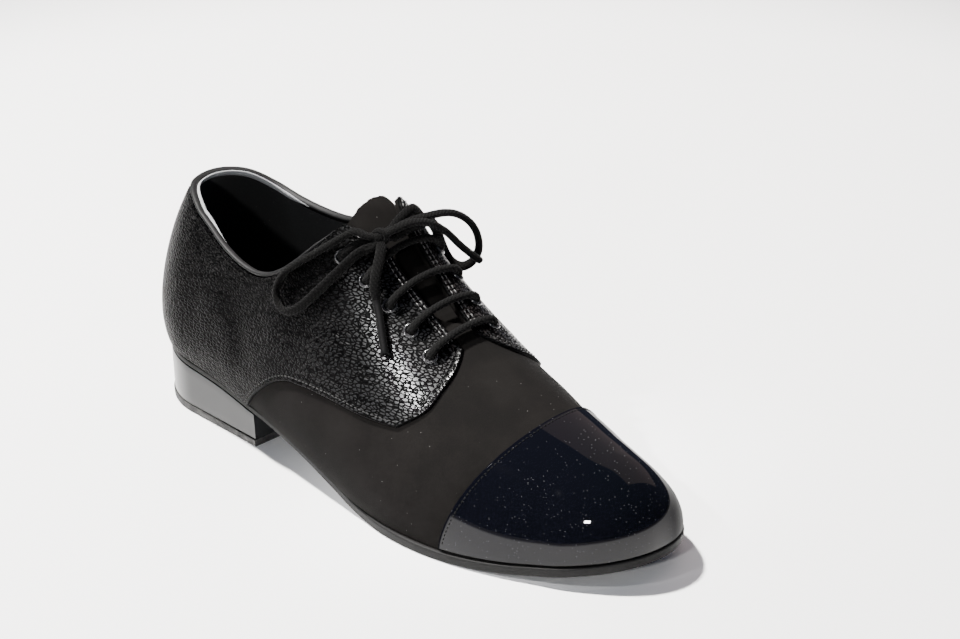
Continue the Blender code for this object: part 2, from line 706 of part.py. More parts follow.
def eyelet_mesh():
    """Turned ring: a barrel through the facing and a rolled flange on it."""
    head = OVERLAY_OUT + GAP
    profile = [
        (EYELET_BORE, -WALL), (EYELET_BARREL, -WALL), (EYELET_BARREL, head), (EYELET_FLANGE, head),
        (EYELET_FLANGE - EYELET_SLOPE, head + EYELET_CROWN), (EYELET_BORE, head + EYELET_DISH),
    ]
    turn = np.linspace(0, 2 * np.pi, EYELET_SIDES, endpoint=False)
    points = [(r * math.cos(a), r * math.sin(a), z) for a in turn for r, z in profile]
    n = len(profile)
    faces = []
    for i in range(EYELET_SIDES):
        for j in range(n):
            a, b = i * n, ((i + 1) % EYELET_SIDES) * n
            k = (j + 1) % n
            faces.append((a + j, b + j, b + k, a + k))
    return solid("eyelet", points, faces)


def make_eyelets(parent):
    """Ten eyelets that share one ring, each set square to the facing."""
    ring = eyelet_mesh()
    for name, place, out in eyelet_seats():
        item = new_object(name, ring.copy(), "enamel", parent)
        item.location = Vector(place) * MM
        item.rotation_euler = Vector(out).to_track_quat("Z", "X").to_euler()


def cut_eyelet_holes(parts):
    """Bore the eyelet holes through the upper and the quarters."""
    for side, quarter in (("lateral", parts[1]), ("medial", parts[2])):
        bm = bmesh.new()
        for name, place, out in eyelet_seats():
            if side not in name:
                continue
            turn = Vector(out).to_track_quat("Z", "X").to_matrix().to_4x4()
            turn.translation = Vector(place) * MM
            bmesh.ops.create_cone(bm, cap_ends=True, segments=EYELET_SIDES, radius1=EYELET_HOLE * MM,
                                  radius2=EYELET_HOLE * MM, depth=EYELET_HOLE_DEPTH * MM, matrix=turn)
        mesh = bpy.data.meshes.new("holes_" + side)
        bm.to_mesh(mesh)
        bm.free()
        cutter = bpy.data.objects.new("holes_" + side, mesh)
        bpy.context.collection.objects.link(cutter)
        cutter.parent = quarter.parent
        cutter.hide_render = True
        cutter.display_type = "WIRE"
        for target in (parts[0], quarter):
            cut = target.modifiers.new("holes_" + side, "BOOLEAN")
            cut.operation = "DIFFERENCE"
            cut.object = cutter


def resample(points, step):
    """Points an even step apart along a polyline."""
    length = np.concatenate([[0], np.cumsum(np.linalg.norm(np.diff(points, axis=0), axis=1))])
    even = np.linspace(0, length[-1], max(3, int(round(length[-1] / step)) + 1))
    return np.column_stack([np.interp(even, length, points[:, k]) for k in range(3)])


def smooth_route(points, step):
    """Points an even step apart on a Catmull-Rom curve through the route's own points.

    The fine curve is evened out by averaging neighbours, so that no bend is sharp.
    """
    p = np.asarray(points, float)
    p = np.concatenate([[2 * p[0] - p[1]], p, [2 * p[-1] - p[-2]]])
    s = np.linspace(0, 1, 20, endpoint=False)[:, None]
    runs = []
    for a, b, c, d in zip(p, p[1:], p[2:], p[3:]):
        runs.append(0.5 * (2 * b + (c - a) * s + (2 * a - 5 * b + 4 * c - d) * s ** 2
                           + (3 * b - a - 3 * c + d) * s ** 3))
    fine = resample(np.concatenate(runs + [p[-2:-1]]), 1.0)
    for _ in range(EVEN_PASSES):
        fine[1:-1] = (fine[:-2] + 2 * fine[1:-1] + fine[2:]) / 4
    return resample(fine, step)


def make_cord(name, points, parent):
    """Round cord along a route, as a bevelled curve with filled ends."""
    curve = bpy.data.curves.new(name, "CURVE")
    curve.dimensions = "3D"
    curve.bevel_depth = LACE / 2 * MM
    curve.bevel_resolution = 2
    curve.use_fill_caps = True
    route = smooth_route(points, LACE_STEP)
    spline = curve.splines.new("POLY")
    spline.points.add(len(route) - 1)
    spline.points.foreach_set("co", np.column_stack([route * MM, np.ones(len(route))]).ravel())
    return new_object(name, curve, "lace", parent)


def lace_lift():
    """Height of a lace's middle over the upper where it lies on the facing."""
    return OVERLAY_OUT + GAP + LACE / 2


def make_lace_bars(parent):
    """Straight bars across the throat, one to each row of eyelets but the top one."""
    for row, places in enumerate(EYELETS[:-1], start=1):
        x0, y0, x1, y1 = places
        s = np.linspace(0, 1, 8)
        theta, t = over(x0 + (x1 - x0) * s, y0 + (y1 - y0) * s)
        ends = BAR_END_LIFT * (2 * s - 1) ** 2
        points = surface(theta, t) + normal(theta, t) * (lace_lift() + BAR_LIFT + ends)[:, None]
        make_cord(f"lace_bar_{row}", points, parent)


def make_knot(parent):
    """Bow knot as one small rounded body."""
    bm = bmesh.new()
    bmesh.ops.create_uvsphere(bm, u_segments=10, v_segments=6, radius=1.0)
    bmesh.ops.scale(bm, vec=Vector(KNOT_RADII) * MM, verts=bm.verts)
    mesh = bpy.data.meshes.new("lace_knot")
    bm.to_mesh(mesh)
    bm.free()
    mesh.shade_smooth()
    item = new_object("lace_knot", mesh, "lace", parent)
    item.location = Vector(KNOT) * MM


def above(route):
    """Places over the throat from (x, y, lift) rows."""
    rows = np.asarray(route, float)
    theta, t = over(rows[:, 0], rows[:, 1])
    return surface(theta, t) + normal(theta, t) * rows[:, 2:3]


def beside(route):
    """Places on the lateral quarter from (x, z, lift) rows."""
    rows = np.asarray(route, float)
    theta = angle(rows[:, 0], LATERAL)
    t = t_at_height(theta, rows[:, 1])
    return surface(theta, t) + normal(theta, t) * rows[:, 2:3]


def make_bow(parent):
    """Knot, loops and ends of the bow, and the two strands that feed it from the top eyelets."""
    make_knot(parent)
    make_cord("lace_feed_lateral", beside(FEED_LATERAL), parent)
    make_cord("lace_feed_medial", above(FEED_MEDIAL), parent)
    make_cord("lace_loop_medial", LOOP_MEDIAL, parent)
    make_cord("lace_end_medial", END_MEDIAL, parent)
    make_cord("lace_loop_lateral", beside(LOOP_LATERAL), parent)
    make_cord("lace_end_lateral", beside(END_LATERAL), parent)


def centre_on_origin(assembly, pieces):
    """Move the assembly so that the middle of the pieces' box stands over the origin."""
    corners = np.array([v.co for piece in pieces for v in piece.data.vertices])
    middle = (corners.min(axis=0) + corners.max(axis=0)) / 2
    assembly.location = (-middle[0], -middle[1], 0.0)


def main():
    """Build the shoe piece by piece on one empty."""
    for item in list(bpy.data.objects):
        bpy.data.objects.remove(item, do_unlink=True)
    assembly = bpy.data.objects.new("shoe", None)
    bpy.context.collection.objects.link(assembly)
    base = [make_outsole(assembly), make_heel(assembly), make_heel_lift(assembly), make_insole(assembly)]
    upper = make_upper(assembly)
    sides = (("quarter_lateral", LATERAL), ("quarter_medial", MEDIAL))
    quarters = [make_quarter(name, side, assembly) for name, side in sides]
    cut_eyelet_holes([upper, *quarters])
    makers = (make_back_strip, make_toe_cap, make_tongue, make_binding)
    overlays = [make(assembly) for make in makers]
    make_eyelets(assembly)
    make_lace_bars(assembly)
    make_bow(assembly)
    centre_on_origin(assembly, [*base, upper, *quarters, *overlays])


main()
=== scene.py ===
"""Looks of a right-foot practice dance shoe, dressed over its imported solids.

Shapes are worked out in millimetres in the shoe's own frame: x from the back of the heel seat to
the toe, y from the outer (lateral) to the inner (medial) side, z up from the floor. One shift, read
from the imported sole, carries them into the frame.
"""

import logging
import math
from dataclasses import dataclass, field
from enum import Enum
from typing import Optional, Sequence, Union

import bmesh
import bpy
import numpy as np
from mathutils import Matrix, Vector


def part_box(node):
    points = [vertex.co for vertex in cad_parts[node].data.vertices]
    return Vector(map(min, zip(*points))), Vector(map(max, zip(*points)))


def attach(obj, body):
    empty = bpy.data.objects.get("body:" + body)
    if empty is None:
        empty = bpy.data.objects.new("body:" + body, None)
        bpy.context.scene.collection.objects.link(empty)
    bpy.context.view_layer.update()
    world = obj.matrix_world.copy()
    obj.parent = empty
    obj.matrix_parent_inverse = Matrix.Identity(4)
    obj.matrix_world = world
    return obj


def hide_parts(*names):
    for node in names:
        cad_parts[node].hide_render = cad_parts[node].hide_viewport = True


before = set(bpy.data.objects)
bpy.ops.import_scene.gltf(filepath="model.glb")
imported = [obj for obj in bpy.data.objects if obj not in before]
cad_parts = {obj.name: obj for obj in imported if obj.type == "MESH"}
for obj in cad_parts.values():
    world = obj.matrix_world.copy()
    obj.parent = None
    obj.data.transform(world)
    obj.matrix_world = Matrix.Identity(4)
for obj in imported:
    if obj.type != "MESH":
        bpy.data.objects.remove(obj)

Array = np.ndarray
Number = Union[float, Array]
LOG = logging.getLogger("dance_shoe")
MM = 0.001
BODY = "root"


class Side(Enum):
    """The two sides of the shoe, by the sign of y."""

    LATERAL = -1
    MEDIAL = 1


@dataclass(frozen=True)
class Table:
    """Named columns given at a few stations, read with a smooth curve between them."""

    columns: tuple
    rows: tuple

    def at(self, name: str, x: Number) -> Array:
        """Value of a column at x: cubic Hermite with slopes from the neighbours.

        Args:
            name: the column's name.
            x: stations, held inside the table's own range.

        Returns:
            The column's value at each station.
        """
        data = np.array(self.rows, float)
        xs, ys = data[:, 0], data[:, self.columns.index(name)]
        slopes = np.gradient(ys, xs)
        x = np.clip(x, xs[0], xs[-1])
        i = np.clip(np.searchsorted(xs, x, side="right") - 1, 0, len(xs) - 2)
        h = xs[i + 1] - xs[i]
        s = (x - xs[i]) / h
        start = ys[i] * (1 + 2 * s) * (1 - s) ** 2 + h * slopes[i] * s * (1 - s) ** 2
        end = ys[i + 1] * s * s * (3 - 2 * s) + h * slopes[i + 1] * s * s * (s - 1)
        return start + end


# Sole outline: middle line and half width, before the round ends are taken off
OUTLINE = Table(("x", "centre", "half_width"), (
    (0, -0.3, 31.6), (33, -0.7, 32.6), (60, -1.8, 32.8), (88, -4.4, 31.8), (110, -6.0, 32.5),
    (132, -6.4, 35.8), (155, -5.4, 41.9), (178, -3.5, 47.3), (198, -1.2, 48.9), (216, 0.9, 47.2),
    (232, 2.4, 43.3), (248, 3.6, 37.4), (262, 4.8, 33.8), (280, 5.2, 31.0),
))

# Cross-sections of the last: ridge over the instep, fullness and bulge of each side, ledge of sole
SECTIONS = Table(
    ("x", "ridge_y", "ridge_z", "full_lateral", "full_medial", "bulge_lateral", "bulge_medial", "ledge"), (
        (0, 0.0, 112.0, 2.20, 2.20, 3.2, 3.2, 0.5),
        (33, 0.0, 114.0, 2.20, 2.30, 3.2, 3.4, 0.5),
        (68, 1.0, 121.0, 2.10, 2.25, 4.0, 4.6, 0.0),
        (97, 2.0, 125.0, 2.05, 2.40, 5.0, 7.5, -1.0),
        (118, 3.0, 118.0, 2.05, 2.70, 5.0, 7.0, -1.0),
        (141, 3.0, 97.5, 2.05, 2.50, 4.0, 5.0, -0.5),
        (165, 3.0, 80.5, 2.05, 2.30, 2.5, 2.5, 1.0),
        (180, 3.2, 72.0, 2.05, 2.10, 1.5, 1.2, 1.5),
        (200, 3.5, 63.5, 2.06, 1.85, 0.2, 0.5, 1.6),
        (220, 4.0, 57.2, 2.00, 1.54, -1.0, 0.0, 1.6),
        (240, 4.5, 52.2, 2.00, 1.46, -1.2, 0.0, 1.6),
        (260, 5.0, 49.0, 2.02, 1.46, -0.6, 0.5, 1.6),
        (280, 5.2, 47.4, 2.05, 2.05, 1.0, 1.0, 1.6),
    ))

# Height of the collar's top line on each side
COLLAR = Table(("x", "lateral", "medial"), (
    (0, 99.0, 99.0), (12, 99.4, 96.4), (26, 97.4, 91.2), (40, 92.4, 87.8), (54, 86.8, 86.8),
    (66, 83.8, 87.6), (77, 83.4, 90.0), (88, 87.3, 94.0), (99, 96.3, 100.2), (106, 104.2, 106.4),
    (112, 112.2, 113.0), (120, 124.0, 124.0),
))

# Plan line of the two facing edges along the throat, with their rounded top corners
FACING = Table(("x", "lateral", "medial"), (
    (106, -18.0, 18.0), (112, -15.4, 15.4), (117, -13.8, 12.2), (122, -11.4, 8.6), (128, -8.0, 6.8),
    (140, -7.4, 6.2), (155, -7.3, 4.6), (178, -7.4, 2.4),
))

# Lower edge of the quarters where they rise off the heel breast and run along the waist
WING = Table(("x", "height"), (
    (76, 21.6), (82, 28.4), (89, 35.0), (97, 41.4), (105, 45.2), (115, 46.8), (130, 47.4), (163, 46.6),
    (178, 47.6),
))

# Half width of the back strip up its height
STRIP = Table(("height", "half_width"), (
    (24, 19.0), (36, 13.5), (52, 9.5), (70, 9.5), (84, 11.5), (100, 13.5),
))

# Eyelets from the toe end up, as plan places (x, y) on the lateral and the medial facing
EYELETS = (
    ((169.9, -19.6), (171.0, 14.6)),
    ((157.7, -18.8), (159.4, 15.4)),
    ((145.3, -19.0), (147.4, 16.6)),
    ((132.6, -20.2), (135.2, 17.6)),
    ((119.9, -21.6), (122.8, 18.6)),
)

# Lace routes as (x, y, z), and on the upper's face as (x, y, lift) or (x, z, lift)
KNOT = (132.6, -12.2, 111.6)
LOOP_MEDIAL = (
    (134.2, -5.4, 113.4), (134.0, 5.1, 113.9), (133.6, 15.3, 112.6), (133.6, 25.0, 110.9),
    (135.0, 32.0, 107.8), (138.0, 36.4, 102.8), (140.0, 38.0, 96.2), (140.0, 37.6, 90.0),
    (137.6, 35.0, 84.8), (133.0, 32.4, 82.8), (128.6, 30.4, 86.4), (126.8, 28.6, 93.0),
    (127.6, 24.1, 102.7), (129.8, 18.8, 107.6), (132.2, 12.9, 109.2), (133.4, 6.0, 110.3),
    (133.8, -5.4, 109.4),
)
END_MEDIAL = (
    (137.4, -8.4, 115.4), (138.2, -2.0, 116.2), (138.2, 4.6, 114.8), (138.2, 11.0, 112.3),
    (139.8, 18.4, 106.6), (142.0, 25.5, 97.9), (145.0, 28.8, 94.0), (147.6, 31.8, 90.6),
)
FEED_LATERAL = ((120.5, 101.8, 5.4), (123.0, 104.4, 4.0), (125.2, 105.8, 3.9))
FEED_MEDIAL = (
    (123.2, 17.4, 5.2), (124.4, 11.0, 4.2), (125.8, 6.0, 3.6), (127.2, 0.6, 2.6), (128.2, -2.6, 2.4),
)
LOOP_LATERAL = (
    (124.4, 107.0, 7.8), (121.0, 108.8, 7.2), (114.6, 104.0, 4.8), (108.2, 98.8, 4.0), (101.4, 93.4, 4.0),
    (95.6, 87.4, 4.0), (93.8, 80.6, 4.0), (97.6, 74.8, 4.0), (104.4, 74.6, 4.0), (111.4, 80.2, 4.0),
    (117.4, 87.8, 4.0), (122.6, 96.0, 4.4), (125.8, 102.2, 6.0), (128.4, 103.8, 6.6),
)
END_LATERAL = (
    (131.4, 101.8, 8.6), (134.4, 96.4, 8.7), (137.0, 91.6, 7.8), (141.2, 86.2, 4.9), (146.2, 80.6, 4.8),
    (151.0, 74.8, 4.4), (155.0, 70.0, 4.2),
)


def smooth_step(a: float, b: float, x: Number) -> Array:
    """S-shaped run from 0 at a to 1 at b.

    Args:
        a: where the run starts (it may be above b).
        b: where the run ends.
        x: the values to read it at.

    Returns:
        The run's value at each x.
    """
    s = np.clip((x - a) / (b - a), 0, 1)
    return s * s * (3 - 2 * s)


def unit(vectors: Array) -> Array:
    """Vectors of length one in the same directions."""
    return vectors / np.maximum(np.linalg.norm(vectors, axis=-1, keepdims=True), 1e-9)


@dataclass
class Last:
    """Shape of the shoe: the sole's outline and heights, the upper's face and its panel lines.

    A place on the upper is a loop angle (0 at the heel back, pi at the toe, lateral side first) and
    a height parameter t from the sole (0) to the ridge over the instep (1).
    """

    length: float = 280.0
    heel_round: float = 33.0
    toe_round: float = 31.0
    tread_back: float = 172.0
    tread_front: float = 200.0
    toe_spring: float = 10.0
    spring_curve: float = 1.9
    seat_height: float = 19.2
    seat_front: float = 45.0
    seat_slope: float = 6.2
    seat_slope_front: float = 72.0
    sole_thin: float = 3.0
    sole_thick: float = 4.3
    thickens_from: float = 90.0
    thickens_run: float = 70.0
    gap: float = 0.35
    toe_gather: float = 218.0
    toe_back: float = 26.0
    toe_slope: float = -0.36
    toe_slope_run: float = 25.0
    bulge_height: float = 22.0
    crest_full: float = 2.0
    crest_from: float = 0.45
    binding_drop: float = 3.0
    throat_end: float = 167.0
    throat_round: float = 9.0
    foot_rise: float = 1.2
    climb: Array = field(init=False)
    rim: dict = field(init=False)
    closed_rim: dict = field(init=False)
    low_line: dict = field(init=False)

    def __post_init__(self) -> None:
        """Work out the rim and the quarters' lower line once, on a fine run of loop angles."""
        self.climb = np.linspace(0, np.pi, 721)
        self.rim, self.closed_rim, self.low_line = {}, {}, {}
        for side in Side:
            theta = self.on_side(self.climb, side)
            x = self.station(theta)
            self.rim[side] = self.top_limit(theta, self.throat_end)
            self.closed_rim[side] = self.top_limit(theta, self.length)
            foot = self.t_at_height(theta, self.sole_top(x) + self.gap + self.foot_rise)
            wing = self.t_at_height(theta, WING.at("height", x))
            self.low_line[side] = np.where(x < WING.rows[0][0], foot, wing)

    @staticmethod
    def on_side(climb: Array, side: Side) -> Array:
        """Loop angle on a side for an angle climbed from the heel back."""
        return climb if side is Side.LATERAL else 2 * np.pi - climb

    def along(self, lines: dict, theta: Array) -> Array:
        """Value at each loop angle of a line that is kept for both sides."""
        climb = np.arccos(np.clip(np.cos(theta), -1, 1))
        lateral = np.interp(climb, self.climb, lines[Side.LATERAL])
        medial = np.interp(climb, self.climb, lines[Side.MEDIAL])
        return np.where(self.is_lateral(theta), lateral, medial)

    def outline(self, x: Array) -> tuple:
        """Middle line and half width of the sole at x, with both ends rounded off."""
        heel = np.clip(1 - x / self.heel_round, 0, 1)
        toe = np.clip(1 - (self.length - x) / self.toe_round, 0, 1)
        half = OUTLINE.at("half_width", x) * np.sqrt((1 - heel ** 2) * (1 - toe ** 2))
        return OUTLINE.at("centre", x), half

    def sole_bottom(self, x: Array) -> Array:
        """Underside of the sole: toe spring, flat tread, arch and sloping heel seat."""
        ahead = np.clip((x - self.tread_front) / (self.length - self.tread_front), 0, 1)
        arch = self.seat_height * smooth_step(self.tread_back, self.seat_front, x)
        seat = self.seat_slope * np.clip(1 - x / self.seat_slope_front, 0, 1)
        return self.toe_spring * ahead ** self.spring_curve + arch + seat

    def sole_top(self, x: Array) -> Array:
        """Upper face of the sole, thinner under the waist and heel."""
        tread = np.clip((x - self.thickens_from) / self.thickens_run, 0, 1)
        return self.sole_bottom(x) + self.sole_thin + (self.sole_thick - self.sole_thin) * tread

    def station(self, theta: Array) -> Array:
        """Distance from the heel back for a loop angle."""
        return self.length * (1 - np.cos(theta)) / 2

    def angle(self, x: Number, side: Side) -> Array:
        """Loop angle of a station on one side."""
        share = np.clip(np.asarray(x, float), 0, self.length) / self.length
        return self.on_side(np.arccos(1 - 2 * share), side)

    def angle_where(self, x: Array, lateral: Array) -> Array:
        """Loop angle of stations, each on the side that a flag names."""
        return np.where(lateral, self.angle(x, Side.LATERAL), self.angle(x, Side.MEDIAL))

    @staticmethod
    def is_lateral(theta: Array) -> Array:
        """True on the lateral half of the loop."""
        return np.sin(theta) >= 0

    def by_side(self, table: Table, theta: Array, kind: str = "") -> Array:
        """Value of a table's lateral or medial column at each loop angle."""
        x = self.station(theta)
        lateral, medial = (table.at(kind + side.name.lower(), x) for side in Side)
        return np.where(self.is_lateral(theta), lateral, medial)

    def spine(self, theta: Array) -> tuple:
        """Plan place and height of the ridge that a column runs up to."""
        x = self.station(theta)
        gather = np.clip((x - self.toe_gather) / (self.length - self.toe_gather), 0, 1)
        run = np.maximum(x, self.heel_round) - self.toe_back * gather ** 2
        return run, SECTIONS.at("ridge_y", x), SECTIONS.at("ridge_z", x)

    def plan(self, theta: Array, inset: Number) -> tuple:
        """Outline point moved in towards the ridge.

        Args:
            theta: loop angles.
            inset: how far to move in.

        Returns:
            The plan points, the inward directions, and the run left to the ridge.
        """
        x = self.station(theta)
        centre, half = self.outline(x)
        run_x, ridge_y, _ = self.spine(theta)
        edge = np.stack([x, centre + np.where(self.is_lateral(theta), -half, half)], -1)
        to_ridge = np.stack([run_x, ridge_y], -1) - edge
        run = np.maximum(np.linalg.norm(to_ridge, axis=-1), 1e-6)
        inwards = to_ridge / run[..., None]
        inset = np.broadcast_to(inset, run.shape)
        return edge + inwards * inset[..., None], inwards, run - inset

    def surface(self, theta: Array, t: Array) -> Array:
        """Outer face of the upper.

        Each column is a superellipse quarter from its foot to the ridge, rounded off where a flat
        flank meets the ridge, and pushed outwards by a bulge that is strongest a little above the
        sole and dies out at the ridge.

        Args:
            theta: loop angles.
            t: height parameters.

        Returns:
            Points in millimetres.
        """
        theta, t = np.broadcast_arrays(np.asarray(theta, float), np.asarray(t, float))
        x = self.station(theta)
        foot, inwards, run = self.plan(theta, SECTIONS.at("ledge", x))
        run_x, _, ridge_z = self.spine(theta)
        full = self.by_side(SECTIONS, theta, "full_")
        full = full + np.maximum(self.crest_full - full, 0) * smooth_step(self.crest_from, 1.0, t)
        bulge = self.by_side(SECTIONS, theta, "bulge_")
        phi = np.clip(t, 0, 1) * np.pi / 2
        rho = 1 - np.clip(np.cos(phi), 0, 1) ** (2 / full)
        base = self.sole_top(x) + self.gap
        rise = (ridge_z - base) * np.sin(phi) ** (2 / full)
        swell = rise / self.bulge_height * np.exp(1 - rise / self.bulge_height) * (1 - rho ** 3)
        place = foot + inwards * (run * rho - bulge * swell)[..., None]
        fall = self.toe_slope * smooth_step(self.toe_gather, self.toe_gather + self.toe_slope_run, x)
        crown = fall * np.maximum(foot[..., 0] - run_x, 0) * (1 - rho) * rho
        return np.concatenate([place, (base + rise + crown)[..., None]], -1)

    def normal(self, theta: Array, t: Array, step: float = 1e-3) -> Array:
        """Outward direction of the upper's face, from small steps along its two parameters."""
        theta, t = np.broadcast_arrays(np.asarray(theta, float), np.asarray(t, float))
        around = self.surface(theta + step, t) - self.surface(theta - step, t)
        up = self.surface(theta, np.minimum(t + step, 1)) - self.surface(theta, np.maximum(t - step, 0))
        return unit(np.cross(around, up))

    def face(self, theta: Array, t: Array) -> tuple:
        """Points of the upper's face and the outward directions there."""
        return self.surface(theta, t), self.normal(theta, t)

    def lifted(self, theta: Array, t: Array, lift: Array) -> Array:
        """Points at a distance off the upper's face."""
        return self.surface(theta, t) + self.normal(theta, t) * lift[..., None]

    def t_at_height(self, theta: Array, z: Array) -> Array:
        """Height parameter at which each column reaches the height z."""
        theta, z = np.broadcast_arrays(np.atleast_1d(theta), np.atleast_1d(z))
        samples = np.linspace(0, 1, 201)
        columns = self.surface(theta[:, None], samples[None, :])[..., 2]
        return np.array([np.interp(goal, column, samples) for goal, column in zip(z, columns)])

    def t_at_reach(self, theta: Array, y: Array) -> Array:
        """Height parameter at which each column comes in to the plan line y."""
        theta, y = np.broadcast_arrays(np.atleast_1d(theta), np.atleast_1d(y))
        samples = np.linspace(0.3, 1, 201)
        inward = np.where(self.is_lateral(theta), 1, -1)
        columns = self.surface(theta[:, None], samples[None, :])[..., 1] * inward[:, None]
        return np.array([np.interp(goal, column, samples) for goal, column in zip(y * inward, columns)])

    def over(self, x: Array, y: Array) -> tuple:
        """Loop angle and height parameter of the upper's face above the plan points (x, y)."""
        x, y = np.asarray(x, float), np.asarray(y, float)
        theta = self.angle_where(x, y < SECTIONS.at("ridge_y", x))
        return theta, self.t_at_reach(theta, y)

    def top_limit(self, theta: Array, throat_end: float) -> Array:
        """Height parameter of the upper's rim: under the binding, along the facings, then the ridge."""
        x = self.station(theta)
        collar = self.t_at_height(theta, self.by_side(COLLAR, theta) - self.binding_drop)
        facing_y = self.by_side(FACING, theta)
        close = np.clip((x - throat_end + self.throat_round) / self.throat_round, 0, 1)
        ridge_y = SECTIONS.at("ridge_y", x)
        facing = self.t_at_reach(theta, ridge_y + (facing_y - ridge_y) * np.sqrt(1 - close ** 2))
        facing = np.where(x >= throat_end, 1.0, facing)
        return np.where(x < FACING.rows[0][0], collar, np.minimum(collar, facing))

    def above(self, route: Sequence) -> Array:
        """Places over the throat from (x, y, lift) rows, lift being the distance off the face."""
        rows = np.asarray(route, float)
        theta, t = self.over(rows[:, 0], rows[:, 1])
        return self.lifted(theta, t, rows[:, 2])

    def beside(self, route: Sequence, side: Side = Side.LATERAL) -> Array:
        """Places on a side of the upper from (x, z, lift) rows."""
        rows = np.asarray(route, float)
        theta = self.angle(rows[:, 0], side)
        t = self.t_at_height(theta, rows[:, 1])
        return self.lifted(theta, t, rows[:, 2])

    def shift(self) -> Array:
        """Move from the shoe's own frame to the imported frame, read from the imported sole's box."""
        low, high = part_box("outsole")
        x = np.linspace(0, self.length, 2001)
        centre, half = self.outline(x)
        return np.array([high.x / MM - self.length, low.y / MM - (centre - half).min(), 0.0])


LAST = Last()
SHIFT = LAST.shift()


def in_frame(points: Array) -> Array:
    """Millimetre points of the shoe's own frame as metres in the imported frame."""
    return (np.asarray(points, float) + SHIFT) * MM


class Field:
    """A shader value used in Python expressions; each operator adds one Math node."""

    def __init__(self, graph: "Graph", socket: bpy.types.NodeSocket) -> None:
        """Keep the graph and the socket that carries the value."""
        self.graph = graph
        self.socket = socket

    def math(self, operation: str, first: object, second: object = 0.0) -> "Field":
        """Result of a Math node on two values."""
        made = self.graph.node("ShaderNodeMath", {"operation": operation}, {0: first, 1: second})
        return Field(self.graph, made.outputs[0])

    def __add__(self, other: object) -> "Field":
        """Sum."""
        return self.math("ADD", self, other)

    def __radd__(self, other: object) -> "Field":
        """Sum with a plain number first."""
        return self.math("ADD", other, self)

    def __sub__(self, other: object) -> "Field":
        """Difference."""
        return self.math("SUBTRACT", self, other)

    def __rsub__(self, other: object) -> "Field":
        """Difference from a plain number."""
        return self.math("SUBTRACT", other, self)

    def __mul__(self, other: object) -> "Field":
        """Product."""
        return self.math("MULTIPLY", self, other)

    def __rmul__(self, other: object) -> "Field":
        """Product with a plain number first."""
        return self.math("MULTIPLY", other, self)

    def sine(self) -> "Field":
        """Sine of the value."""
        return self.math("SINE", self)

    def size(self) -> "Field":
        """The value without its sign."""
        return self.math("ABSOLUTE", self)

    def ramp(self, low: float, high: float) -> "Field":
        """S-shaped run from 0 where the value is low to 1 where it is high."""
        made = self.graph.node("ShaderNodeMapRange", {"interpolation_type": "SMOOTHSTEP"},
                               {"Value": self, "From Min": low, "From Max": high})
        return Field(self.graph, made.outputs["Result"])


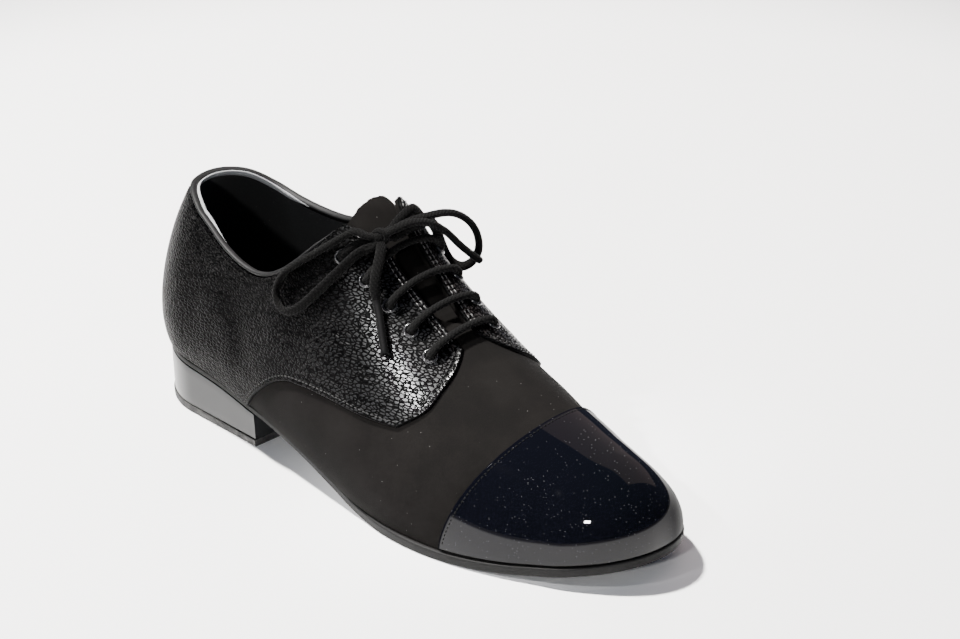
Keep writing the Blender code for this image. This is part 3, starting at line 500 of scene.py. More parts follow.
class Graph:
    """Node tree of one material, with a Principled shader at its end."""

    def __init__(self, name: str) -> None:
        """Make the material and find its shader."""
        self.material = bpy.data.materials.new(name)
        self.material.use_nodes = True
        self.tree = self.material.node_tree
        self.shader = self.tree.nodes["Principled BSDF"]
        self.where = self.node("ShaderNodeTexCoord").outputs["Object"]

    def feed(self, socket: bpy.types.NodeSocket, value: object) -> None:
        """Link a value into a socket, or set a plain number or colour on it."""
        source = value.socket if isinstance(value, Field) else value
        if isinstance(source, bpy.types.NodeSocket):
            self.tree.links.new(source, socket)
        else:
            socket.default_value = source

    def node(self, kind: str, settings: Optional[dict] = None,
             inputs: Optional[dict] = None) -> bpy.types.Node:
        """Add a node.

        Args:
            kind: the node's type.
            settings: its own properties, set first.
            inputs: values or links by socket name or number.

        Returns:
            The node.
        """
        made = self.tree.nodes.new(kind)
        for key, value in (settings or {}).items():
            setattr(made, key, value)
        for key, value in (inputs or {}).items():
            self.feed(made.inputs[key], value)
        return made

    def set(self, **values: object) -> None:
        """Set or link the shader's sockets, with spaces written as underscores."""
        for key, value in values.items():
            self.feed(self.shader.inputs[key.replace("_", " ")], value)

    def noise(self, scale: float, detail: float = 3.0, rough: float = 0.5) -> Field:
        """Cloudy noise with about scale features to the metre."""
        made = self.node("ShaderNodeTexNoise", {}, {
            "Vector": self.where, "Scale": scale, "Detail": detail, "Roughness": rough})
        return Field(self, made.outputs["Fac"])

    def cells(self, scale: float, vector: object = None, uneven: float = 1.0,
              feature: str = "F1") -> bpy.types.Node:
        """Voronoi cells with about scale cells to the metre."""
        return self.node("ShaderNodeTexVoronoi", {"feature": feature}, {
            "Vector": vector or self.where, "Scale": scale, "Randomness": uneven})

    def gaps(self, scale: float, vector: object, uneven: float) -> Field:
        """Distance to the edge of Voronoi cells, in cells."""
        return Field(self, self.cells(scale, vector, uneven, "DISTANCE_TO_EDGE").outputs["Distance"])

    def vector(self, operation: str, inputs: dict) -> bpy.types.Node:
        """Vector Math node."""
        return self.node("ShaderNodeVectorMath", {"operation": operation}, inputs)

    def away(self, centre: Sequence) -> Field:
        """Distance in metres from a place."""
        return Field(self, self.vector("DISTANCE", {0: self.where, 1: tuple(centre)}).outputs["Value"])

    def moved(self, vector: bpy.types.NodeSocket, by: object) -> bpy.types.NodeSocket:
        """A vector with another one added to it."""
        return self.vector("ADD", {0: vector, 1: by}).outputs[0]

    def warped(self, amount: float, scale: float, stretch: tuple) -> bpy.types.NodeSocket:
        """Object coordinates, stretched and pushed about by a noise of that many metres."""
        mapped = self.node("ShaderNodeMapping", {}, {"Vector": self.where, "Scale": stretch})
        push = self.node("ShaderNodeTexNoise", {}, {"Vector": self.where, "Scale": scale, "Detail": 1.0})
        scaled = self.vector("SCALE", {0: push.outputs["Color"], "Scale": amount})
        return self.moved(mapped.outputs[0], scaled.outputs[0])

    def attribute(self, name: str) -> Field:
        """A number kept on the mesh."""
        return Field(self, self.node("ShaderNodeAttribute", {"attribute_name": name}).outputs["Fac"])

    def axis(self, index: int) -> Field:
        """One of the object coordinates, in metres."""
        return Field(self, self.node("ShaderNodeSeparateXYZ", {}, {0: self.where}).outputs[index])

    def mix(self, low: tuple, high: object, factor: Field) -> bpy.types.NodeSocket:
        """Colour between two colours."""
        first = low if isinstance(low, bpy.types.NodeSocket) else (*low, 1.0)
        second = high if isinstance(high, bpy.types.NodeSocket) else (*high, 1.0)
        made = self.node("ShaderNodeMix", {"data_type": "RGBA"}, {0: factor, 6: first, 7: second})
        return made.outputs[2]

    def bump(self, height: Field, depth: float, strength: float = 1.0) -> bpy.types.NodeSocket:
        """Shading normal of a relief whose full height is depth metres."""
        inputs = {"Height": height, "Distance": depth, "Strength": strength}
        return self.node("ShaderNodeBump", {}, inputs).outputs["Normal"]

    def specks(self, scale: float, radius: float, share: float) -> Field:
        """Small scattered dots: a share of the cells carries one, of that radius in cells."""
        cell = self.cells(scale)
        near = 1.0 - Field(self, cell.outputs["Distance"]).ramp(radius * 0.6, radius)
        pick = self.node("ShaderNodeSeparateColor", {}, {0: cell.outputs["Color"]})
        return near * Field(self, pick.outputs[0]).ramp(1.0 - share, 1.02 - share)


@dataclass(frozen=True)
class Finish:
    """A surface finish; each kind fills in its own nodes."""

    name: str
    colour: tuple

    def tint(self, share: float) -> tuple:
        """The finish's colour, made darker or paler by a share."""
        return tuple(share * c for c in self.colour)

    def dress(self, g: Graph) -> None:
        """Fill in the node tree."""
        raise NotImplementedError

    def material(self) -> bpy.types.Material:
        """The finish's material, made at its first use."""
        found = bpy.data.materials.get("look_" + self.name)
        if found is None:
            g = Graph("look_" + self.name)
            self.dress(g)
            found = g.material
        return found


@dataclass(frozen=True)
class Nubuck(Finish):
    """Napped matte leather with faint clouds and dust."""

    dust: tuple = (0.11, 0.105, 0.10)

    def dress(self, g: Graph) -> None:
        """Clouded dark grey with a fine nap and a few pale specks."""
        cloud = g.noise(42.0, detail=4.0, rough=0.6)
        nap = g.noise(2600.0, detail=2.0, rough=0.7)
        lint = g.specks(330.0, radius=0.09, share=0.24)
        body = g.mix(self.colour, self.tint(1.75), cloud.ramp(0.32, 0.72) * 0.75 + nap * 0.25)
        g.set(Base_Color=g.mix(body, self.dust, lint * 0.45), Roughness=0.84 + 0.12 * nap,
              Normal=g.bump(nap + cloud * 0.6, depth=0.00016, strength=0.6), Sheen_Weight=0.01,
              Sheen_Roughness=0.45, Specular_IOR_Level=0.04)


@dataclass(frozen=True)
class PebbleGrain(Finish):
    """Tumbled grain leather: close pebbles with dark gaps (painted shade in the colour), glossier towards
    the eyelets.
    """

    pebbles: float = 670.0
    stretch: tuple = (0.60, 0.90, 1.15)
    uneven: float = 0.8
    dome: float = 0.32
    depth: float = 0.0004
    # lean: upward shift that puts the painted highlight and the coat on each pebble's upper side
    lean: float = 0.0004

    def dress(self, g: Graph) -> None:
        """Domes that fall off to the cells' edges; a coat on their upper sides grows in front. The colour
        carries a painted highlight on each pebble's upper side and painted shade towards the heel.
        """
        vector = g.warped(0.0006, 260.0, self.stretch)
        above = g.moved(vector, (0.0, 0.0, self.lean))
        top = g.gaps(self.pebbles, vector, self.uneven).ramp(0.0, self.dome)
        over = g.gaps(self.pebbles, above, self.uneven).ramp(0.0, self.dome)
        # crown: each pebble's upper side, used as a painted highlight in the colour and as the coat's mask
        crown = (top + 0.9 * (top - over)).ramp(0.30, 1.10)
        front = g.axis(0).ramp(-0.035, 0.035)
        # painted shade: the colour darkens towards the heel
        shade = 0.35 + 0.65 * g.axis(0).ramp(-0.13, -0.03)
        inside = g.attribute("edge_mm").ramp(0.4, 1.1)
        wrinkle = g.noise(3200.0, detail=2.0)
        worn = g.noise(70.0, detail=3.0).ramp(0.45, 0.75)
        # colour mix: painted highlight on the pebbles' upper sides, painted shade in their gaps and
        # towards the heel, plus some real wear
        painted_light_and_wear = (crown * 0.8 + 0.2 * worn) * shade
        g.set(Base_Color=g.mix(self.tint(0.2), self.tint(2.2), painted_light_and_wear),
              Roughness=0.40 + 0.08 * worn - 0.08 * top,
              Coat_Weight=crown * inside * front, Coat_Roughness=0.32,
              Normal=g.bump(top * inside + 0.05 * wrinkle, self.depth), Specular_IOR_Level=0.02)


@dataclass(frozen=True)
class Patent(Finish):
    """Patent leather: black under a clear mirror coat, with a little dust."""

    dust: tuple = (0.17, 0.17, 0.18)
    coat: float = 0.72
    duller: float = 0.82

    def dress(self, g: Graph) -> None:
        """Blue-black with a faint orange peel and pale specks; its coat is dull on the inner flank."""
        peel = g.noise(95.0, detail=2.0)
        motes = g.specks(1000.0, radius=0.15, share=0.30)
        low = 1.0 - g.axis(2).ramp(0.026, 0.038)
        flank = g.axis(1)
        far = low * flank.ramp(0.002, 0.017) + (1.0 - low) * flank.ramp(0.010, 0.026)
        haze = g.noise(24.0, detail=3.0).ramp(0.4, 0.8)
        inside = g.attribute("edge_mm").ramp(0.5, 1.3)
        g.set(Base_Color=g.mix(self.colour, self.dust, motes * 0.55), Roughness=0.36 + 0.08 * haze,
              Normal=g.bump(peel, depth=0.00006, strength=0.3),
              Coat_Weight=inside * (self.coat - 0.4 * motes) * (1.0 - self.duller * far),
              Coat_Roughness=0.03, Coat_IOR=1.38, Specular_IOR_Level=0.0)


@dataclass(frozen=True)
class SoleLeather(Finish):
    """Dyed sole leather, waxed on its edge."""

    rough: float = 0.5
    grain: float = 0.00012
    # black along the heel: partly the edge's ink, partly painted shade of the gap at the heel seat
    heel_ink_and_shade: float = 0.0
    ink_and_shade: tuple = (0.0015, 0.0016, 0.0016)

    def dress(self, g: Graph) -> None:
        """Dark leather with fine fibres and pale rubbed spots, black along the heel: the edge's ink and
        painted shade at the heel seat.
        """
        fibre = g.noise(1500.0, detail=4.0, rough=0.65)
        rub = g.noise(120.0, detail=5.0, rough=0.7).ramp(0.56, 0.78)
        # ink and painted shade: the colour turns black towards the heel
        ink_and_shade = self.heel_ink_and_shade * (1.0 - g.axis(0).ramp(-0.070, -0.035))
        body = g.mix(self.colour, self.tint(3.0), rub * 0.4 + 0.25 * fibre)
        g.set(Base_Color=g.mix(body, self.ink_and_shade, ink_and_shade), Roughness=self.rough + 0.15 * rub,
              Normal=g.bump(fibre + rub * 0.5, depth=self.grain, strength=0.8), Specular_IOR_Level=0.12)


@dataclass(frozen=True)
class Lacquer(Finish):
    """Smooth glossy lacquer on the heel block, which mirrors the pale floor."""

    def dress(self, g: Graph) -> None:
        """Dark grey lacquer under a clear coat, with the faintest clouds."""
        cloud = g.noise(45.0, detail=3.0, rough=0.5)
        g.set(Base_Color=g.mix(self.colour, self.tint(1.25), cloud.ramp(0.3, 0.8)),
              Roughness=0.30 + 0.06 * cloud, Normal=g.bump(cloud, depth=0.00005, strength=0.4),
              Coat_Weight=0.22, Coat_Roughness=0.10, Specular_IOR_Level=0.15)


@dataclass(frozen=True)
class Rubber(Finish):
    """Moulded rubber of the heel lift, dusty near the floor."""

    dust: tuple = (0.12, 0.115, 0.11)

    def dress(self, g: Graph) -> None:
        """Matte dark rubber with dust rising from the floor and small pits."""
        pits = g.noise(1300.0, detail=3.0)
        low = 1.0 - g.axis(2).ramp(0.0, 0.0042)
        dust = g.noise(210.0, detail=5.0, rough=0.7).ramp(0.4, 0.75) * (0.25 + 0.5 * low)
        g.set(Base_Color=g.mix(self.colour, self.dust, dust), Roughness=0.66 + 0.22 * pits,
              Normal=g.bump(pits, depth=0.00018, strength=0.7))


@dataclass(frozen=True)
class Cloth(Finish):
    """Dense cloth or felt: a fine thread cloud with lint."""

    thread: float = 1500.0
    lint: tuple = (0.2, 0.2, 0.2)
    fuzz: float = 0.0002
    lint_share: float = 0.2
    sheen: float = 0.1

    def dress(self, g: Graph) -> None:
        """Clouded cloth with fibres, lint and a soft sheen."""
        fibre = g.noise(self.thread, detail=5.0, rough=0.75)
        cloud = g.noise(90.0, detail=3.0)
        lint = g.specks(260.0, radius=0.12, share=self.lint_share)
        body = g.mix(self.colour, self.tint(1.8), fibre * 0.6 + cloud * 0.4)
        g.set(Base_Color=g.mix(body, self.lint, lint * 0.4), Roughness=0.86 + 0.1 * fibre,
              Normal=g.bump(fibre, depth=self.fuzz, strength=0.9), Sheen_Weight=self.sheen,
              Sheen_Roughness=0.5, Specular_IOR_Level=0.15)


@dataclass(frozen=True)
class SmoothLeather(Finish):
    """Smooth edge leather of the binding, satin, slightly creased."""

    rough: float = 0.52
    gloss: float = 0.18

    def dress(self, g: Graph) -> None:
        """Satin black with hair-fine creases."""
        crease = g.noise(900.0, detail=3.0, rough=0.6)
        rub = g.noise(150.0, detail=4.0).ramp(0.5, 0.8)
        g.set(Base_Color=g.mix(self.colour, self.tint(2.4), rub * 0.7),
              Roughness=self.rough + 0.16 * crease, Normal=g.bump(crease, depth=0.00014, strength=0.7),
              Specular_IOR_Level=self.gloss)


@dataclass(frozen=True)
class Enamel(Finish):
    """Black enamel on metal, rubbed pale here and there."""

    metal: tuple = (0.16, 0.155, 0.15)

    def dress(self, g: Graph) -> None:
        """Gloss enamel with a few worn spots."""
        wear = g.noise(650.0, detail=4.0, rough=0.7).ramp(0.62, 0.74)
        g.set(Base_Color=g.mix(self.colour, self.metal, wear * 0.6), Roughness=0.2 + 0.2 * wear,
              Metallic=wear * 0.5, Normal=g.bump(g.noise(400.0), depth=0.00008, strength=0.5))


@dataclass(frozen=True)
class Braid(Finish):
    """Braided cord: two families of strands that cross, read from the cord's own map."""

    plait: float = 2.1
    strands: float = 7.0

    def dress(self, g: Graph) -> None:
        """Diamond relief from the product of two slanted waves along and round the cord."""
        spot = g.node("ShaderNodeSeparateXYZ", {}, {0: g.node("ShaderNodeUVMap").outputs[0]})
        along, round_it = Field(g, spot.outputs[0]), Field(g, spot.outputs[1])
        run = along * (math.pi / self.plait)
        lean = round_it * (math.pi * self.strands)
        weave = (run + lean).sine().size() * (run - lean).sine().size()
        fuzz = g.noise(2400.0, detail=3.0, rough=0.7)
        strand = weave.ramp(0.1, 0.9) * 0.7 + fuzz * 0.3
        g.set(Base_Color=g.mix(self.colour, self.tint(2.3), strand),
              Roughness=0.76 + 0.2 * fuzz, Normal=g.bump(weave + 0.4 * fuzz, depth=0.00030, strength=0.9),
              Sheen_Weight=0.02, Sheen_Roughness=0.5, Specular_IOR_Level=0.05)


NUBUCK = Nubuck("nubuck", (0.0029, 0.0026, 0.0024))
GRAIN = PebbleGrain("grain", (0.0015, 0.0015, 0.0016))
PATENT = Patent("patent", (0.0012, 0.0013, 0.0024))
SOLE_EDGE = SoleLeather("sole_edge", (0.005, 0.0049, 0.0048), rough=0.62, heel_ink_and_shade=1.0)
SOLE_TREAD = SoleLeather("sole_tread", (0.030, 0.028, 0.026), rough=0.78, grain=0.0003)
LACQUER = Lacquer("heel_lacquer", (0.0090, 0.0094, 0.0100))
RUBBER = Rubber("lift_rubber", (0.010, 0.0098, 0.0096))
LINING = Cloth("lining", (0.0055, 0.0054, 0.0053), thread=1200.0, lint=(0.12, 0.12, 0.12), fuzz=0.00018,
               lint_share=0.14)
SOCK = Cloth("sock", (0.012, 0.0118, 0.0115), thread=1700.0, lint=(0.14, 0.14, 0.14), fuzz=0.00015,
             lint_share=0.12)
FELT = Cloth("felt", (0.24, 0.245, 0.25), thread=1900.0, lint=(0.5, 0.5, 0.5), fuzz=0.0005, lint_share=0.3)
BINDING = SmoothLeather("binding", (0.0036, 0.0036, 0.0038))
THREAD = SmoothLeather("thread", (0.011, 0.0108, 0.0106), rough=0.5, gloss=0.3)
# paler thread whose colour paints in the glints of the facing stitches
GLINT_PAINTED_THREAD = SmoothLeather("glint_painted_thread", (0.06, 0.059, 0.058), rough=0.45, gloss=0.5)
DARK_THREAD = SmoothLeather("dark_thread", (0.0045, 0.0044, 0.0043), rough=0.7, gloss=0.08)
ENAMEL = Enamel("enamel", (0.012, 0.012, 0.0125))
BRAID = Braid("braid", (0.0010, 0.00097, 0.00095))
AGLET = SmoothLeather("aglet", (0.0016, 0.0016, 0.0017), rough=0.55, gloss=0.06)


@dataclass
class Piece:
    """A mesh under construction: millimetre points, faces and what goes with them."""

    name: str
    points: Array
    faces: list
    finishes: tuple
    slot: str
    replaced: tuple = ()
    finish_of_face: Optional[Array] = None
    corner_uv: Optional[Array] = None
    edge_mm: Optional[Array] = None
    merge: bool = True
    sharp_deg: float = 50.0

    def build(self) -> bpy.types.Object:
        """Make the object in the frame, smooth it, dress it and let it ride on the shoe.

        Returns:
            The finished object.
        """
        mesh = bpy.data.meshes.new(self.name)
        mesh.from_pydata(in_frame(self.points).tolist(), [], self.faces)
        if self.finish_of_face is not None:
            mesh.polygons.foreach_set("material_index", self.finish_of_face.astype(np.int32))
        if self.corner_uv is not None:
            layer = mesh.uv_layers.new(name="UVMap")
            layer.data.foreach_set("uv", self.corner_uv.astype(np.float32).ravel())
        if self.edge_mm is not None:
            layer = mesh.attributes.new("edge_mm", "FLOAT", "POINT")
            layer.data.foreach_set("value", self.edge_mm.astype(np.float32))
        if self.merge:
            work = bmesh.new()
            work.from_mesh(mesh)
            bmesh.ops.remove_doubles(work, verts=work.verts, dist=1e-6)
            bmesh.ops.dissolve_degenerate(work, edges=work.edges, dist=1e-7)
            bmesh.ops.recalc_face_normals(work, faces=work.faces)
            work.to_mesh(mesh)
            work.free()
        mesh.shade_smooth()
        mesh.set_sharp_from_angle(angle=math.radians(self.sharp_deg))
        made = bpy.data.objects.new(self.name, mesh)
        bpy.context.scene.collection.objects.link(made)
        for finish in self.finishes:
            mesh.materials.append(finish.material())
        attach(made, BODY)
        if self.replaced:
            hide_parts(*self.replaced)
        LOG.info("%s: %d faces", self.name, len(mesh.polygons))
        return made


def grid_quads(rows: int, columns: int, wrap_rows: bool = False, wrap_columns: bool = False) -> Array:
    """Quads of a grid of points numbered row by row.

    Args:
        rows: number of rows.
        columns: number of points in a row.
        wrap_rows: close the last row on to the first.
        wrap_columns: close each row round on itself.

    Returns:
        Corner numbers, four to a quad.
    """
    i = np.arange(rows if wrap_rows else rows - 1)[:, None]
    j = np.arange(columns if wrap_columns else columns - 1)[None, :]
    i, j = np.broadcast_arrays(i, j)
    a, b = i * columns, ((i + 1) % rows) * columns
    k = (j + 1) % columns
    return np.stack([a + j, b + j, b + k, a + k], -1).reshape(-1, 4)


def shell_faces(rows: int, columns: int, wrap: bool = False, open_top: Optional[Array] = None,
                open_last: bool = True) -> tuple:
    """Faces of a wall between a front grid and a back grid of the same size.

    Args:
        rows: grid rows, along the loop.
        columns: points in a row, from foot to top.
        wrap: close the loop.
        open_top: which rows end at an open top edge; the others meet their opposite side there.
        open_last: wall the last row too, when the loop isn't closed.

    Returns:
        The quads, and a flag on each that is 1 on the back.
    """
    front = grid_quads(rows, columns, wrap)
    count = rows * columns
    back = front[:, ::-1] + count
    i = np.arange(rows if wrap else rows - 1)
    nxt = (i + 1) % rows
    here, there = i * columns, nxt * columns
    foot = np.stack([here, here + count, there + count, there], -1)
    top = np.stack([here, there, there + count, here + count], -1) + columns - 1
    if open_top is not None:
        top = top[open_top[i] | open_top[nxt]]
    walls = [foot, top]
    if not wrap:
        j = np.arange(columns - 1)
        walls.append(np.stack([j, j + 1, j + 1 + count, j + count], -1))
        if open_last:
            walls.append(np.stack([j, j + count, j + 1 + count, j + 1], -1) + (rows - 1) * columns)
    quads = np.concatenate([front, back, *walls])
    on_back = np.zeros(len(quads), int)
    on_back[len(front):len(front) + len(back)] = 1
    return quads, on_back


def front_and_back(front: Array, back: Array) -> Array:
    """Points of a wall's front grid, and then those of its back grid."""
    return np.concatenate([front.reshape(-1, 3), back.reshape(-1, 3)])


def run_length(points: Array) -> Array:
    """Length along a polyline up to each of its points."""
    return np.concatenate([[0], np.cumsum(np.linalg.norm(np.diff(points, axis=0), axis=1))])


def read_along(places: Array, length: Array, values: Array) -> Array:
    """Vectors kept along a line, read at places given as lengths along it."""
    return np.column_stack([np.interp(places, length, values[:, k]) for k in range(3)])


def resample(points: Array, step: float) -> Array:
    """Points an even step apart along a polyline."""
    length = run_length(points)
    even = np.linspace(0, length[-1], max(3, int(round(length[-1] / step)) + 1))
    return read_along(even, length, points)


def smooth_route(points: Sequence, step: float, even_passes: int = 10) -> Array:
    """Points an even step apart on a Catmull-Rom curve, evened out by averaging neighbours.

    Args:
        points: the route's own points.
        step: spacing of the result.
        even_passes: how often neighbours are averaged.

    Returns:
        The curve's points.
    """
    p = np.asarray(points, float)
    p = np.concatenate([[2 * p[0] - p[1]], p, [2 * p[-1] - p[-2]]])
    s = np.linspace(0, 1, 20, endpoint=False)[None, :, None]
    a, b, c, d = (p[k:len(p) - 3 + k, None, :] for k in range(4))
    bend, twist = 2 * a - 5 * b + 4 * c - d, 3 * b - a - 3 * c + d
    runs = 0.5 * (2 * b + (c - a) * s + bend * s ** 2 + twist * s ** 3)
    fine = resample(np.concatenate([runs.reshape(-1, 3), p[-2:-1]]), 1.0)
    for _ in range(even_passes):
        fine[1:-1] = (fine[:-2] + 2 * fine[1:-1] + fine[2:]) / 4
    return resample(fine, step)


def nearest(points: Array, line: Array) -> Array:
    """Distance from each point to the nearest point of a finely sampled line."""
    found = np.empty(len(points))
    square = (line ** 2).sum(1)
    for start in range(0, len(points), 4000):
        part = points[start:start + 4000]
        gap = (part ** 2).sum(1)[:, None] + square[None, :] - 2 * part @ line.T
        found[start:start + 4000] = np.sqrt(np.maximum(gap.min(1), 0))
    return found


# Distances from a folded edge, in millimetres, at which its cross-section is sampled
FINE_EDGE = np.array((0.0, 0.22, 0.45, 0.7, 1.0, 1.4, 1.9, 2.5, 3.2))


def crowded(count: int, length: float) -> Array:
    """Fractions from 0 to 1, with fine steps near both ends for a folded edge.

    Args:
        count: how many even steps lie between the fine ones.
        length: about how many millimetres the run is long.

    Returns:
        Rising fractions.
    """
    near = FINE_EDGE / length
    middle = np.linspace(near[-1], 1 - near[-1], count + 1)[1:-1]
    return np.concatenate([near, middle, 1 - near[::-1]])


@dataclass(frozen=True)
class FoldedEdge:
    """Cross-section of a laid-on panel by the distance from its edge: a fold, a bead, a seam groove."""

    height: float = 1.25
    foot: float = 0.12
    fold: float = 0.55
    bead: float = 0.12
    bead_at: float = 0.65
    bead_wide: float = 0.45
    groove: float = 0.18
    groove_at: float = 2.1
    groove_wide: float = 0.4

    def rise(self, away: Array) -> Array:
        """Height over the upper's face at a distance from the edge, in millimetres."""
        turn = np.sqrt(1 - (1 - np.clip(away / self.fold, 0, 1)) ** 2)
        bead = self.bead * np.exp(-((away - self.bead_at) / self.bead_wide) ** 2)
        groove = self.groove * np.exp(-((away - self.groove_at) / self.groove_wide) ** 2)
        return self.foot + (self.height - self.foot) * turn + (bead - groove) * turn


@dataclass(frozen=True)
class Crease:
    """Soft trough along a line on a side of the shoe, or a ridge where its depth is negative."""

    side: Side
    route: tuple
    depth: float
    width: float

    def sink(self, points: Array) -> Array:
        """How far the crease sinks the face at each point: a bell across it that fades at its ends."""
        line = smooth_route(LAST.beside([(x, z, 0.0) for x, z in self.route], self.side), 1.0, 4)
        away = nearest(points, line)
        fade = smooth_step(0.0, 2.2 * self.width, nearest(points, line[[0, -1]]))
        return self.depth * fade * np.exp(-(away / self.width) ** 2)


@dataclass
class StitchRow:
    """A row of sewn stitches along a line, each a small capsule half sunk in the leather."""

    pitch: float = 2.3
    stitch: float = 1.75
    thread: float = 0.26
    sides: int = 6
    probe: float = 0.4

    def capsules(self, line: Array, out: Array) -> tuple:
        """Stitches along a line.

        Each stitch is a ring profile carried along its length: half-ellipse in height, pointed ends.

        Args:
            line: points of the row on the leather.
            out: outward directions at those points.

        Returns:
            Points and quads of all stitches.
        """
        length = run_length(line)
        middle = np.arange(self.pitch / 2, length[-1], self.pitch)
        spot = read_along(middle, length, line)
        ahead = read_along(middle + self.probe, length, line)
        behind = read_along(middle - self.probe, length, line)
        up = unit(read_along(middle, length, out))
        run = unit(ahead - behind)
        across = unit(np.cross(run, up))
        u = np.array([-1.0, -0.8, -0.3, 0.3, 0.8, 1.0])
        girth = self.thread * np.array([0.15, 0.75, 1.0, 1.0, 0.75, 0.15])[:, None]
        lift = self.thread * (0.75 - 1.5 * u ** 2)[:, None]
        turn = np.linspace(0, 2 * np.pi, self.sides, endpoint=False)
        ring = (spot[:, None, None, :]
                + run[:, None, None, :] * (u * self.stitch / 2)[None, :, None, None]
                + up[:, None, None, :] * (lift + girth * np.sin(turn))[None, :, :, None]
                + across[:, None, None, :] * (girth * np.cos(turn))[None, :, :, None])
        per = len(u) * self.sides
        quads = grid_quads(len(u), self.sides, False, True)
        all_quads = (quads[None] + (np.arange(len(spot)) * per)[:, None, None]).reshape(-1, 4)
        return ring.reshape(-1, 3), all_quads


def stitches(name: str, rows: Sequence, kind: StitchRow, slot: str, thread: Finish = THREAD) -> None:
    """One object with all the stitches of several rows.

    Args:
        name: the object's name.
        rows: pairs of a line and its outward directions.
        kind: the stitch.
        slot: the record's material slot; not used.
        thread: the thread's finish.
    """
    points, quads, start = [], [], 0
    for line, out in rows:
        p, q = kind.capsules(line, out)
        points.append(p)
        quads.append(q + start)
        start += len(p)
    faces = np.concatenate(quads).tolist()
    Piece(name, np.concatenate(points), faces, (thread,), slot, merge=False).build()


def sole_loop(stations: Array) -> tuple:
    """Loop angles down the lateral side and back up the medial one, for the same stations.

    Args:
        stations: rising stations.

    Returns:
        The loop angles, and how many stations there are.
    """
    down = LAST.angle(stations[::-1], Side.LATERAL)
    up = LAST.angle(stations, Side.MEDIAL)
    return np.concatenate([down, up]), len(stations)


def loft(levels: Array, stations: int) -> list:
    """Faces of a solid lofted through loops that run down one side and up the other.

    Args:
        levels: points, level by level.
        stations: stations to a side.

    Returns:
        Side quads and two end caps made of quads between the two sides.
    """
    count, around = levels.shape[:2]
    sides = grid_quads(count, around, False, True)
    i = np.arange(stations - 1)
    cap = np.stack([i, i + 1, around - 2 - i, around - 1 - i], -1)
    return np.concatenate([sides, cap, cap[:, ::-1] + (count - 1) * around]).tolist()


def end_packed(count: int, first: float, last: float) -> Array:
    """Stations that crowd towards both ends."""
    return first + (last - first) * (1 - np.cos(np.linspace(0, np.pi, count))) / 2


